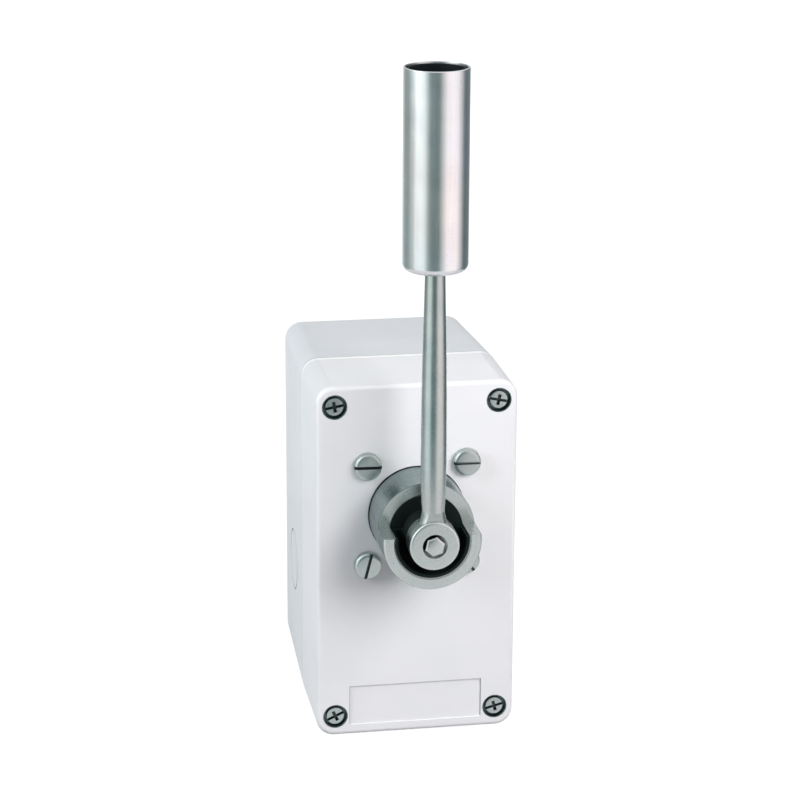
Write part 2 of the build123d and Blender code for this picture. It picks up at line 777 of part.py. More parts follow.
# Clamp screw: hexagon head in the hub's recess, shank through the hub and into the shaft
with BuildPart() as clamp_screw:
    with BuildSketch(shaft_plane(clamp_seat)):
        RegularPolygon(clamp_head_across_flats / 2, 6, major_radius=False, rotation=30)
    extrude(amount=clamp_head_height)
    with BuildSketch(turning_plane):
        with BuildLine():
            Polyline(
                (clamp_seat, 0),
                (clamp_seat, clamp_head_across_flats),
                (clamp_seat + clamp_head_height - clamp_head_chamfer, clamp_head_across_flats / 2 + clamp_head_chamfer),
                (clamp_seat + clamp_head_height, clamp_head_across_flats / 2 - clamp_head_chamfer / 2),
                (clamp_seat + clamp_head_height, 0),
                close=True,
            )
        make_face()
    revolve(axis=shaft_axis, mode=Mode.INTERSECT)
    with BuildSketch(shaft_plane(clamp_seat)):
        Circle(clamp_screw_radius)
    extrude(amount=-clamp_screw_length)
finish(clamp_screw, "clamp_screw")

# Lever rod: coped and welded over the hub, thickest a third of the way up, with a spigot for the roller
weld_width = rod_foot_radius + weld_reach
weld_height = pivot_height + math.sqrt(hub_radius**2 - weld_width**2)
rod_shoulder_height = roller_bottom_height + roller_shell_wall + washer_pocket_depth - washer_thickness
rod_shoulder_height = rod_shoulder_height - sliding_clearance
core_bottom = roller_bottom_height + roller_shell_wall
core_seat_height = core_bottom + washer_pocket_depth
core_shelf_height = core_seat_height + core_bore_length
spigot_top = core_shelf_height + sliding_clearance + washer_thickness + roller_nut_height + spigot_overhang
with BuildPart() as lever_rod:
    with BuildSketch(rod_plane):
        with BuildLine():
            Polyline((0, pivot_height), (weld_width, pivot_height), (weld_width, weld_height))
            weld = ThreePointArc(
                (weld_width, weld_height),
                (rod_foot_radius + weld_reach / 3, (weld_height + rod_neck_height) / 2),
                (rod_foot_radius, rod_neck_height),
            )
            bulge = Spline(
                weld @ 1,
                (rod_bulge_radius, rod_bulge_height),
                (rod_top_radius, roller_bottom_height),
                tangents=[(0.05, 1), (-0.02, 1)],
            )
            Polyline(
                bulge @ 1,
                (rod_top_radius, rod_shoulder_height),
                (rod_spigot_radius, rod_shoulder_height),
                (rod_spigot_radius, spigot_top),
                (0, spigot_top),
                (0, pivot_height),
            )
        make_face()
    revolve(axis=rod_axis)
    with BuildSketch(shaft_plane(rod_axis_depth)):
        Circle(hub_radius)
    extrude(amount=weld_width, both=True, mode=Mode.SUBTRACT)
    for face_depth, way in ((hub_front - hub_front_round, 1), (hub_back + hub_rear_chamfer, -1)):
        with BuildSketch(shaft_plane(face_depth)):
            Rectangle(2 * weld_width, rod_neck_height - pivot_height, align=(Align.CENTER, Align.MIN))
        extrude(amount=way * weld_width, mode=Mode.SUBTRACT)
finish(lever_rod, "lever_rod")

# Roller: a drawn steel cup on a black core that turns on the rod's spigot
with BuildPart() as roller_shell:
    with BuildSketch(Plane.XY.offset(roller_bottom_height)):
        with Locations((0, -rod_axis_depth)):
            Circle(roller_radius)
    extrude(amount=roller_length)
    fillet(roller_shell.edges().sort_by(Axis.Z)[0], roller_edge_radius)
    roller_mouth = roller_shell.faces().sort_by(Axis.Z)[-1]
    offset(amount=-roller_shell_wall, openings=roller_mouth)
    with BuildSketch(Plane.XY.offset(roller_bottom_height)):
        with Locations((0, -rod_axis_depth)):
            Circle(rod_top_radius + working_gap)
    extrude(amount=roller_shell_wall, mode=Mode.SUBTRACT)
finish(roller_shell, "roller_shell")

core_radius = roller_radius - roller_shell_wall
core_edge_radius = roller_edge_radius - roller_shell_wall
core_top = roller_top_height - core_top_margin
with BuildPart() as roller_core:
    with BuildSketch(Plane.XY.offset(core_bottom)):
        with Locations((0, -rod_axis_depth)):
            Circle(core_radius)
    extrude(amount=core_top - core_bottom)
    fillet(roller_core.edges().sort_by(Axis.Z)[0], core_edge_radius)
    with BuildSketch(Plane.XY.offset(core_bottom)):
        with Locations((0, -rod_axis_depth)):
            Circle(washer_pocket_radius)
    extrude(amount=washer_pocket_depth, mode=Mode.SUBTRACT)
    with BuildSketch(Plane.XY.offset(core_shelf_height)):
        with Locations((0, -rod_axis_depth)):
            Circle(core_cup_radius)
    extrude(amount=core_top - core_shelf_height, mode=Mode.SUBTRACT)
    with BuildSketch(Plane.XY.offset(core_seat_height)):
        with Locations((0, -rod_axis_depth)):
            Circle(rod_spigot_radius + running_clearance)
    extrude(amount=core_bore_length, mode=Mode.SUBTRACT)
finish(roller_core, "roller_core")

washer_bottoms = (rod_shoulder_height, core_shelf_height + sliding_clearance)
with BuildPart() as roller_washers:
    for washer_bottom in washer_bottoms:
        with BuildSketch(Plane.XY.offset(washer_bottom)):
            with Locations((0, -rod_axis_depth)):
                Circle(washer_radius)
                Circle(rod_spigot_radius + running_clearance, mode=Mode.SUBTRACT)
        extrude(amount=washer_thickness)
finish(roller_washers, "roller_washers")

with BuildPart() as roller_nut:
    with BuildSketch(Plane.XY.offset(washer_bottoms[1] + washer_thickness)):
        with Locations((0, -rod_axis_depth)):
            RegularPolygon(roller_nut_across_flats / 2, 6, major_radius=False)
            Circle(rod_spigot_radius + thread_clearance, mode=Mode.SUBTRACT)
    extrude(amount=roller_nut_height)
finish(roller_nut, "roller_nut")

# Spring carrier: a sleeve inside the coil and a lug between the spring's two legs
lug_height = 2 * (spring_radius - spring_wire_radius - sliding_clearance)
with BuildPart() as spring_carrier:
    with BuildSketch(shaft_plane(carrier_back)):
        Circle(carrier_flange_radius)
        Rectangle(carrier_lug_reach, lug_height, align=(Align.MAX, Align.CENTER))
    extrude(amount=carrier_flange_thickness)
    with BuildSketch(shaft_plane(carrier_back)):
        Circle(carrier_sleeve_radius)
        with Locations((-carrier_lug_reach, 0)):
            Rectangle(lug_thickness, lug_height, align=(Align.MIN, Align.CENTER))
    extrude(amount=carrier_length)
    with BuildSketch(shaft_plane(carrier_back)):
        Circle(rear_journal_radius + running_clearance)
        with Locations((0, rear_journal_radius)):
            Rectangle(
                key_width + sliding_clearance,
                2 * (key_top_radius - rear_journal_radius + sliding_clearance),
            )
    extrude(amount=carrier_length, mode=Mode.SUBTRACT)
finish(spring_carrier, "spring_carrier")

with BuildPart() as spring_anchor:
    with BuildSketch(shaft_plane(plate_back)):
        with Locations((-anchor_reach, 0)):
            Rectangle(lug_thickness, lug_height, align=(Align.MIN, Align.CENTER))
    extrude(amount=-anchor_length)
finish(spring_anchor, "spring_anchor")

# Centring spring: its legs straddle the anchor and the carrier's lug
coil_length = spring_pitch * spring_turns
coil_start = carrier_back + carrier_flange_thickness + spring_wire_radius + 2 * working_gap
with BuildPart() as return_spring:
    with BuildLine() as spring_path:
        coil = Helix(
            pitch=spring_pitch,
            height=coil_length,
            radius=spring_radius,
            center=(0, -coil_start, pivot_height),
            direction=(0, -1, 0),
        )
        Line(coil @ 0, coil @ 0 - (coil % 0) * spring_leg)
        Line(coil @ 1, coil @ 1 + (coil % 1) * spring_leg)
    spring_wire = spring_path.wire()
    with BuildSketch(Plane(origin=spring_wire @ 0, z_dir=spring_wire % 0)):
        Circle(spring_wire_radius)
    sweep(path=spring_wire)
finish(return_spring, "return_spring")


def cam_outline(direction):
    """Points round a snail cam, as (x, height) from the shaft's axis.

    The radius grows evenly with the angle over the working flank that faces down, and falls evenly
    over the rest. The direction is 1 where the radius grows towards +X, and -1 where it shrinks.
    """
    growth = plunger_travel / lever_range_deg
    flank = cam_flank_deg
    rise = growth * flank
    points = []
    for angle in range(-160, 200, 20):
        if abs(angle) <= flank:
            radius = cam_radius + growth * angle
        elif angle > 0:
            radius = cam_radius + rise * (180 - angle) / (180 - flank)
        else:
            radius = cam_radius - rise * (180 + angle) / (180 - flank)
        turn = math.radians(direction * angle)
        points.append((radius * math.sin(turn), -radius * math.cos(turn)))
    return points


# Snail cams, mirror images of each other, each with a boss on its front
cam_directions = {"front_cam": 1, "rear_cam": -1}
cam_backs = {"front_cam": front_cam_back, "rear_cam": rear_cam_back}
cam_fronts = {"front_cam": carrier_back, "rear_cam": front_cam_back}
for cam_name, direction in cam_directions.items():
    with BuildPart() as cam:
        with BuildSketch(shaft_plane(cam_backs[cam_name])):
            with BuildLine():
                Spline(*cam_outline(direction), periodic=True)
            make_face()
        extrude(amount=cam_thickness)
        with BuildSketch(shaft_plane(cam_backs[cam_name] + cam_thickness)):
            Circle(cam_boss_radius)
        extrude(amount=cam_fronts[cam_name] - cam_backs[cam_name] - cam_thickness)
        with BuildSketch(shaft_plane(cam_backs[cam_name])):
            Circle(rear_journal_radius + running_clearance)
            with Locations((0, rear_journal_radius)):
                Rectangle(
                    key_width + sliding_clearance,
                    2 * (key_top_radius - rear_journal_radius + sliding_clearance),
                )
        extrude(amount=cam_fronts[cam_name] - cam_backs[cam_name], mode=Mode.SUBTRACT)
    finish(cam, cam_name)

# Two snap switches under the cams: case, lid, plunger, blade and two terminals each
case_middle = (switch_top + switch_bottom) / 2
inner_length = switch_length - 2 * switch_wall
inner_height = switch_height - 2 * switch_wall
case_thickness = switch_thickness - switch_lid_thickness
for side_name, switch_back in switch_backs.items():
    middle_depth = switch_back + switch_thickness / 2
    with BuildPart() as switch_case:
        with BuildSketch(front_plane(switch_back)):
            with Locations((0, case_middle)):
                Rectangle(switch_length, switch_height)
        extrude(amount=case_thickness)
        with BuildSketch(front_plane(switch_back + switch_wall)):
            with Locations((0, case_middle)):
                Rectangle(inner_length, inner_height)
        extrude(amount=case_thickness - switch_wall, mode=Mode.SUBTRACT)
        with BuildSketch(screw_row_plane(switch_back)):
            with switch_screw_places:
                Circle(switch_boss_radius)
        extrude(amount=case_thickness)
        with BuildSketch(screw_row_plane(switch_back)):
            with switch_screw_places:
                Circle(switch_screw_radius + sliding_clearance)
        extrude(amount=case_thickness, mode=Mode.SUBTRACT)
        with BuildSketch(Plane.XY.offset(switch_top)):
            with Locations((0, -middle_depth)):
                Circle(plunger_radius + running_clearance)
        extrude(amount=-switch_wall, mode=Mode.SUBTRACT)
        with BuildSketch(Plane.XY.offset(switch_bottom)):
            with Locations((0, -middle_depth)):
                with GridLocations(terminal_spacing, 1, 2, 1):
                    Rectangle(terminal_thickness, terminal_width)
        extrude(amount=switch_wall, mode=Mode.SUBTRACT)
    finish(switch_case, f"{side_name}_switch_case")

    with BuildPart() as switch_lid:
        with BuildSketch(front_plane(switch_back + case_thickness)):
            with Locations((0, case_middle)):
                Rectangle(switch_length, switch_height)
        extrude(amount=switch_lid_thickness)
        with BuildSketch(screw_row_plane(switch_back + case_thickness)):
            with switch_screw_places:
                Circle(switch_screw_radius + sliding_clearance)
        extrude(amount=switch_lid_thickness, mode=Mode.SUBTRACT)
    finish(switch_lid, f"{side_name}_switch_lid")

    flange_top = switch_top - plunger_flange_drop
    with BuildPart() as plunger:
        with BuildSketch(Plane.XY.offset(flange_top - plunger_flange_thickness)):
            with Locations((0, -middle_depth)):
                Circle(plunger_flange_radius)
        extrude(amount=plunger_flange_thickness)
        with BuildSketch(Plane.XY.offset(flange_top)):
            with Locations((0, -middle_depth)):
                Circle(plunger_radius)
        extrude(amount=plunger_tip - flange_top)
        fillet(plunger.edges().sort_by(Axis.Z)[-1], plunger_radius - running_clearance)
    finish(plunger, f"{side_name}_plunger")

    with BuildPart() as switch_blade:
        with BuildSketch(Plane.XY.offset(blade_top - blade_thickness)):
            with Locations((0, -middle_depth)):
                Rectangle(blade_length, blade_width)
        extrude(amount=blade_thickness)
    finish(switch_blade, f"{side_name}_switch_blade")

    # The left terminal carries the blade, and the right one is the fixed contact below its free end
    with BuildPart() as terminals:
        blade_bottom = blade_top - blade_thickness
        for side, top in ((-1, blade_bottom), (1, blade_bottom - contact_gap)):
            with BuildSketch(Plane.XY.offset(switch_bottom - terminal_reach)):
                with Locations((side * terminal_spacing / 2, -middle_depth)):
                    Rectangle(terminal_thickness, terminal_width)
            extrude(amount=top - switch_bottom + terminal_reach)
    finish(terminals, f"{side_name}_switch_terminals")

barrier_back = switch_backs["rear"] + switch_thickness
with BuildPart() as switch_barrier:
    with BuildSketch(front_plane(barrier_back)):
        with Locations((0, case_middle - terminal_reach / 2)):
            Rectangle(switch_length + 2 * barrier_margin, switch_height + terminal_reach + barrier_margin)
    extrude(amount=barrier_thickness)
    with BuildSketch(screw_row_plane(barrier_back)):
        with switch_screw_places:
            Circle(switch_screw_radius + sliding_clearance)
    extrude(amount=barrier_thickness, mode=Mode.SUBTRACT)
finish(switch_barrier, "switch_barrier")

switch_stack_front = switch_backs["front"] + switch_thickness
with BuildPart() as switch_screws:
    with BuildSketch(screw_row_plane(rear_plate_back)):
        with switch_screw_places:
            Circle(switch_screw_radius)
    extrude(amount=switch_stack_front - rear_plate_back)
    with BuildSketch(screw_row_plane(switch_stack_front)):
        with switch_screw_places:
            Circle(switch_screw_head_radius)
            Rectangle(2 * switch_screw_head_radius, terminal_thickness, mode=Mode.SUBTRACT)
    extrude(amount=switch_screw_head_height)
finish(switch_screws, "switch_screws")
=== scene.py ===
"""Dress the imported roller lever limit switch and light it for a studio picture.

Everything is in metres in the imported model's own frame: X to the right seen from the front, Z up,
and the front faces -Y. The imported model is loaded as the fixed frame. The pieces made here stand
for plainer solids of it, and every solid that stays in view gets a procedural finish.
"""

import json
import logging
import math
from dataclasses import dataclass
from enum import Enum

import bmesh
import bpy
from mathutils import Matrix, Vector


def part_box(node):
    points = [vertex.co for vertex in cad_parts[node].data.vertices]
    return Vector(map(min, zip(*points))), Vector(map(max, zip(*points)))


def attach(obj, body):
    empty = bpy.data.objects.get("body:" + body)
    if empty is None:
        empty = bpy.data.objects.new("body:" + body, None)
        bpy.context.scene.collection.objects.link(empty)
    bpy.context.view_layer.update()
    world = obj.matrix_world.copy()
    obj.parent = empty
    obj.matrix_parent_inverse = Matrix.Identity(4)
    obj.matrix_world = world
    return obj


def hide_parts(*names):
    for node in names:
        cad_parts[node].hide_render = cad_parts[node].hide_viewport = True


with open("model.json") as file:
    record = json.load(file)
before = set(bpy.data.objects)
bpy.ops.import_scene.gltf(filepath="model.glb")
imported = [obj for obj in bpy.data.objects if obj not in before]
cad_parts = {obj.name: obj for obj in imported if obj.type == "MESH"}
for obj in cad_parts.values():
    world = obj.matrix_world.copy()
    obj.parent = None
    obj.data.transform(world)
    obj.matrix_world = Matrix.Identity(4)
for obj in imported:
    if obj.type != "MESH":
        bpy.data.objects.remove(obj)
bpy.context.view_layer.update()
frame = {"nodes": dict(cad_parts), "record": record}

log = logging.getLogger("limit_switch")
RECESS = "recess"
SHAFT_HEIGHT = 0.020
COVER_FACE = 0.106
PARTING = 0.064
FLOOR_HEIGHT = -0.073
# Spans that patterns are carried between, and where most of a noise pattern lies
RISE = (0.0, 1.0)
FALL = (1.0, 0.0)
MIDRANGE = (0.3, 0.7)
SHARP_DEG = 32
WHITE = (1.0, 1.0, 1.0)
# Faces round a turned shape
SHANK_STEPS = 32
HEAD_STEPS = 48
BORE_STEPS = 64
TUBE_STEPS = 128
# Short names for the types that the hints use most
Colour = tuple[float, float, float]
Place = tuple[float, float, float]
Pair = tuple[float, float]
Socket = bpy.types.NodeSocket
Shape = bmesh.types.BMesh


class Body(Enum):
    """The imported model's bodies that pieces ride on."""

    HOUSING = "housing"
    LEVER = "lever"
    ROLLER = "roller"


class Recipe:
    """A material's node tree, with short calls for the nodes that the finishes share."""

    def __init__(self, name: str) -> None:
        """Start an empty node tree that ends in one surface shader.

        Args:
            name: The material's name.
        """
        self.material = bpy.data.materials.new(name)
        self.material.use_nodes = True
        self.nodes = self.material.node_tree.nodes
        self.links = self.material.node_tree.links
        self.nodes.clear()
        self.output = self.nodes.new("ShaderNodeOutputMaterial")
        self.surface = self.nodes.new("ShaderNodeBsdfPrincipled")
        self.links.new(self.surface.outputs["BSDF"], self.output.inputs["Surface"])
        self.place = self.nodes.new("ShaderNodeTexCoord").outputs["Object"]

    def set(self, socket: str, value: float | Colour) -> None:
        """Set one of the surface shader's own sockets.

        Args:
            socket: The socket's name.
            value: A number, or a colour as three numbers.
        """
        if isinstance(value, tuple):
            value = (*value, 1.0)
        self.surface.inputs[socket].default_value = value

    def feed(self, socket: str, source: Socket) -> None:
        """Link a pattern to one of the surface shader's sockets."""
        self.links.new(source, self.surface.inputs[socket])

    def mapped(self, scale: Place = (1, 1, 1), centre: Place = (0, 0, 0)) -> Socket:
        """Centre and stretch the object's own coordinates.

        Args:
            scale: The factor along each axis.
            centre: The point that becomes the pattern's origin, in metres.

        Returns:
            The vector socket of the mapped place.
        """
        mapping = self.nodes.new("ShaderNodeMapping")
        mapping.inputs["Scale"].default_value = scale
        mapping.inputs["Location"].default_value = [-c * s for c, s in zip(centre, scale)]
        self.links.new(self.place, mapping.inputs["Vector"])
        return mapping.outputs["Vector"]

    def noise(self, vector: Socket, scale: float, detail: float = 2.0, rough: float = 0.5) -> Socket:
        """Read a noise pattern.

        Args:
            vector: The place that it is read at.
            scale: Lumps per unit of the vector.
            detail: Octaves of finer lumps.
            rough: The strength of the finer lumps.

        Returns:
            The value socket, about 0 to 1.
        """
        node = self.nodes.new("ShaderNodeTexNoise")
        node.inputs["Scale"].default_value = scale
        node.inputs["Detail"].default_value = detail
        node.inputs["Roughness"].default_value = rough
        self.links.new(vector, node.inputs["Vector"])
        return node.outputs["Fac"]

    def span(self, value: Socket, source: Pair, target: Pair) -> Socket:
        """Carry a value from one span to another, held at both ends.

        Args:
            value: The value socket.
            source: The lowest and highest value that are read.
            target: What they become.

        Returns:
            The new value's socket.
        """
        node = self.nodes.new("ShaderNodeMapRange")
        for name, number in zip(("From Min", "From Max", "To Min", "To Max"), (*source, *target)):
            node.inputs[name].default_value = number
        self.links.new(value, node.inputs["Value"])
        return node.outputs["Result"]

    def sum(self, operation: str, first: Socket | float, second: Socket | float = 0.0) -> Socket:
        """Work out one sum on two values.

        Args:
            operation: The math node's operation, such as MULTIPLY.
            first: A socket or a number.
            second: A socket or a number.

        Returns:
            The result's socket.
        """
        node = self.nodes.new("ShaderNodeMath")
        node.operation = operation
        for slot, value in zip(node.inputs, (first, second)):
            if isinstance(value, Socket):
                self.links.new(value, slot)
            else:
                slot.default_value = value
        return node.outputs["Value"]

    def weigh(self, first: Socket, second: Socket, shares: Pair) -> Socket:
        """Add two patterns up, each by its share.

        Args:
            first: One pattern.
            second: The other.
            shares: What each counts for.

        Returns:
            The sum's socket.
        """
        parts = [self.sum("MULTIPLY", part, share) for part, share in zip((first, second), shares)]
        return self.sum("ADD", *parts)

    def blend(self, factor: Socket, low: Colour, high: Colour) -> Socket:
        """Blend two colours by a pattern.

        Args:
            factor: The pattern, from 0 to 1.
            low: The colour at 0.
            high: The colour at 1.

        Returns:
            The colour's socket.
        """
        node = self.nodes.new("ShaderNodeValToRGB")
        node.color_ramp.elements[0].color = (*low, 1.0)
        node.color_ramp.elements[1].color = (*high, 1.0)
        self.links.new(factor, node.inputs["Fac"])
        return node.outputs["Color"]

    def mix(self, factor: Socket, first: Socket, colour: Colour) -> Socket:
        """Lay one colour over another where a pattern says so.

        Args:
            factor: Where the colour lies, from 0 to 1.
            first: The colour under it.
            colour: The colour that is laid on.

        Returns:
            The mixed colour's socket.
        """
        node = self.nodes.new("ShaderNodeMix")
        node.data_type = "RGBA"
        self.links.new(factor, node.inputs["Factor"])
        self.links.new(first, node.inputs["A"])
        node.inputs["B"].default_value = (*colour, 1.0)
        return node.outputs["Result"]

    def tinted(self, colour: Socket, tint: Socket) -> Socket:
        """Multiply a colour by a tint near white.

        Args:
            colour: The colour's socket.
            tint: The tint's socket.

        Returns:
            The tinted colour's socket.
        """
        node = self.nodes.new("ShaderNodeMix")
        node.data_type = "RGBA"
        node.blend_type = "MULTIPLY"
        node.inputs["Factor"].default_value = 1.0
        self.links.new(colour, node.inputs["A"])
        self.links.new(tint, node.inputs["B"])
        return node.outputs["Result"]

    def split(self, vector: Socket) -> tuple[Socket, ...]:
        """Take a vector apart.

        Args:
            vector: The vector's socket.

        Returns:
            Its X, Y and Z sockets.
        """
        node = self.nodes.new("ShaderNodeSeparateXYZ")
        self.links.new(vector, node.inputs["Vector"])
        return tuple(node.outputs)

    def axes(self, centre: Place) -> tuple[Socket, ...]:
        """Give the distance from a point, in metres, along X, Y and Z."""
        return self.split(self.mapped(centre=centre))

    def distance(self, across: Socket, along: Socket) -> Socket:
        """Work out how far a place is from a point that it lies across and along from.

        Args:
            across: The distance one way.
            along: The distance at a right angle to it.

        Returns:
            The straight distance's socket.
        """
        squares = [self.sum("MULTIPLY", side, side) for side in (across, along)]
        return self.sum("SQRT", self.sum("ADD", *squares))

    def recess(self) -> Socket:
        """Read how deep in a slot or socket a place is.

        Returns:
            The depth's socket, from 0 on the outside to 1 on the floor.
        """
        node = self.nodes.new("ShaderNodeAttribute")
        node.attribute_name = RECESS
        return node.outputs["Fac"]

    def relief(self, height: Socket, strength: float, distance: float) -> None:
        """Raise a pattern on the surface.

        Args:
            height: The pattern.
            strength: The share of the relief that shows.
            distance: The relief's height in metres.
        """
        node = self.nodes.new("ShaderNodeBump")
        node.inputs["Strength"].default_value = strength
        node.inputs["Distance"].default_value = distance
        self.links.new(height, node.inputs["Height"])
        self.links.new(node.outputs["Normal"], self.surface.inputs["Normal"])

    def turned_place(self) -> Socket:
        """Give the distance from the shaft's axis and the depth along it as a place.

        Returns:
            A vector socket with the radius in X and the depth in Y.
        """
        across, depth, up = self.axes((0, 0, SHAFT_HEIGHT))
        join = self.nodes.new("ShaderNodeCombineXYZ")
        self.links.new(self.distance(across, up), join.inputs["X"])
        self.links.new(depth, join.inputs["Y"])
        return join.outputs["Vector"]


@dataclass(frozen=True)
class MouldedCase:
    """The enclosure's pale plastic: faintly mottled, with a fine skin and a darker parting line, a painted
    highlight along the cover's edge at the parting line, and painted shade in the knock-out grooves and
    round the shallow recess.
    """

    name: str = "pale_moulded_case"
    low: Colour = (0.770, 0.775, 0.800)
    high: Colour = (0.815, 0.815, 0.840)
    mottle_scale: float = 28
    base_tint: Colour = (0.92, 0.945, 0.955)
    base_edge: float = 0.00005
    roughness: Pair = (0.30, 0.39)
    gloss_scale: float = 180
    ior: float = 1.48
    skin_scale: float = 1400
    skin_depth: float = 0.00002
    skin_strength: float = 0.35
    seam: Colour = (0.36, 0.39, 0.41)
    seam_half_width: float = 0.00016
    seam_sink: float = -6.0
    # Painted highlight: a bright band on the cover's edge just in front of the parting line, strongest on
    # the top
    painted_highlight: Colour = (0.99, 0.99, 0.99)
    highlight_width: float = 0.0023
    highlight_fade: float = 1.15
    highlight_above: Pair = (0.066, 0.072)
    highlight_share: Pair = (0.135, 0.9)
    # Painted shade in the groove round the knock-out in each side
    knockout_centre: Place = (0.0, -0.032, -0.024)
    knockout_radius: float = 0.0126
    knockout_groove: Pair = (0.00035, 0.00055)
    knockout_shade: float = 0.6
    # Painted shade: a thin dark line round the cover's shallow recess, left off its lower edge
    recess_line: Colour = (0.40, 0.42, 0.45)
    recess_size: Pair = (0.0534, 0.0165)
    recess_height: float = -0.0605
    recess_line_width: float = 0.00022
    recess_open_foot: Pair = (-0.485, -0.47)
    recess_reach: Pair = (0.001, 0.0012)

    def material(self) -> bpy.types.Material:
        """Build the finish, from its mottled colour to its skin.

        Returns:
            The material.
        """
        recipe = Recipe(self.name)
        _, depth, height = recipe.axes((0, -PARTING, 0))
        mottle = recipe.noise(recipe.mapped(), self.mottle_scale, detail=3)
        colour = recipe.blend(recipe.span(mottle, MIDRANGE, RISE), self.low, self.high)
        behind = recipe.span(depth, (-self.base_edge, self.base_edge), RISE)
        colour = recipe.tinted(colour, recipe.blend(behind, WHITE, self.base_tint))
        # Painted highlight on the cover's edge along the parting line
        colour = recipe.mix(self.painted_highlight_band(recipe, depth, height), colour, self.painted_highlight)
        ends = (self.seam_half_width, 2 * self.seam_half_width)
        seam = recipe.span(recipe.sum("ABSOLUTE", depth), ends, FALL)
        colour = recipe.mix(seam, colour, self.seam)
        # Painted shade in the knock-out groove, laid in the parting line's dark colour
        groove = recipe.sum("MULTIPLY", self.knockout_ring(recipe), self.knockout_shade)
        colour = recipe.mix(groove, colour, self.seam)
        # Painted shade round the shallow recess, on all but its lower edge
        recipe.feed("Base Color", recipe.mix(self.recess_edge(recipe), colour, self.recess_line))
        gloss = recipe.noise(recipe.mapped(), self.gloss_scale, detail=4)
        recipe.feed("Roughness", recipe.span(gloss, MIDRANGE, self.roughness))
        recipe.set("IOR", self.ior)
        skin = recipe.noise(recipe.mapped(), self.skin_scale)
        skin = recipe.sum("ADD", skin, recipe.sum("MULTIPLY", seam, self.seam_sink))
        recipe.relief(skin, self.skin_strength, self.skin_depth)
        return recipe.material

    def painted_highlight_band(self, recipe: Recipe, depth: Socket, height: Socket) -> Socket:
        """Paint a highlight on the cover's edge along the parting line, brightest on the top.

        Args:
            recipe: The finish's node tree.
            depth: The distance behind the parting line.
            height: The height above the middle.

        Returns:
            The band's socket.
        """
        back = -2 * self.seam_half_width
        front = (back - self.highlight_fade * self.highlight_width, back - self.highlight_width)
        band = recipe.sum(
            "MULTIPLY", recipe.span(depth, front, RISE), recipe.span(depth, (back, back / 2), FALL)
        )
        return recipe.sum("MULTIPLY", band, recipe.span(height, self.highlight_above, self.highlight_share))

    def knockout_ring(self, recipe: Recipe) -> Socket:
        """Paint shade in the groove round the knock-out in each side.

        Args:
            recipe: The finish's node tree.

        Returns:
            The groove's socket, from 0 to 1.
        """
        _, depth, height = recipe.axes(self.knockout_centre)
        away = recipe.sum("SUBTRACT", recipe.distance(depth, height), self.knockout_radius)
        return recipe.span(recipe.sum("ABSOLUTE", away), self.knockout_groove, FALL)

    def recess_edge(self, recipe: Recipe) -> Socket:
        """Mark the thin shaded line round the cover's shallow recess, which its lower edge hasn't.

        Args:
            recipe: The finish's node tree.

        Returns:
            The line's socket, from 0 to 1.
        """
        width, height = self.recess_size
        x, y, z = recipe.axes((0, -COVER_FACE, self.recess_height))
        out_x = recipe.sum("SUBTRACT", recipe.sum("ABSOLUTE", x), width / 2)
        out_z = recipe.sum("SUBTRACT", recipe.sum("ABSOLUTE", z), height / 2)
        away = recipe.sum("ABSOLUTE", recipe.sum("MAXIMUM", out_x, out_z))
        line = recipe.span(away, (self.recess_line_width / 2, self.recess_line_width), FALL)
        foot = tuple(share * height for share in self.recess_open_foot)
        line = recipe.sum("MULTIPLY", line, recipe.span(z, foot, RISE))
        near = recipe.span(recipe.sum("ABSOLUTE", y), self.recess_reach, FALL)
        return recipe.sum("MULTIPLY", line, near)


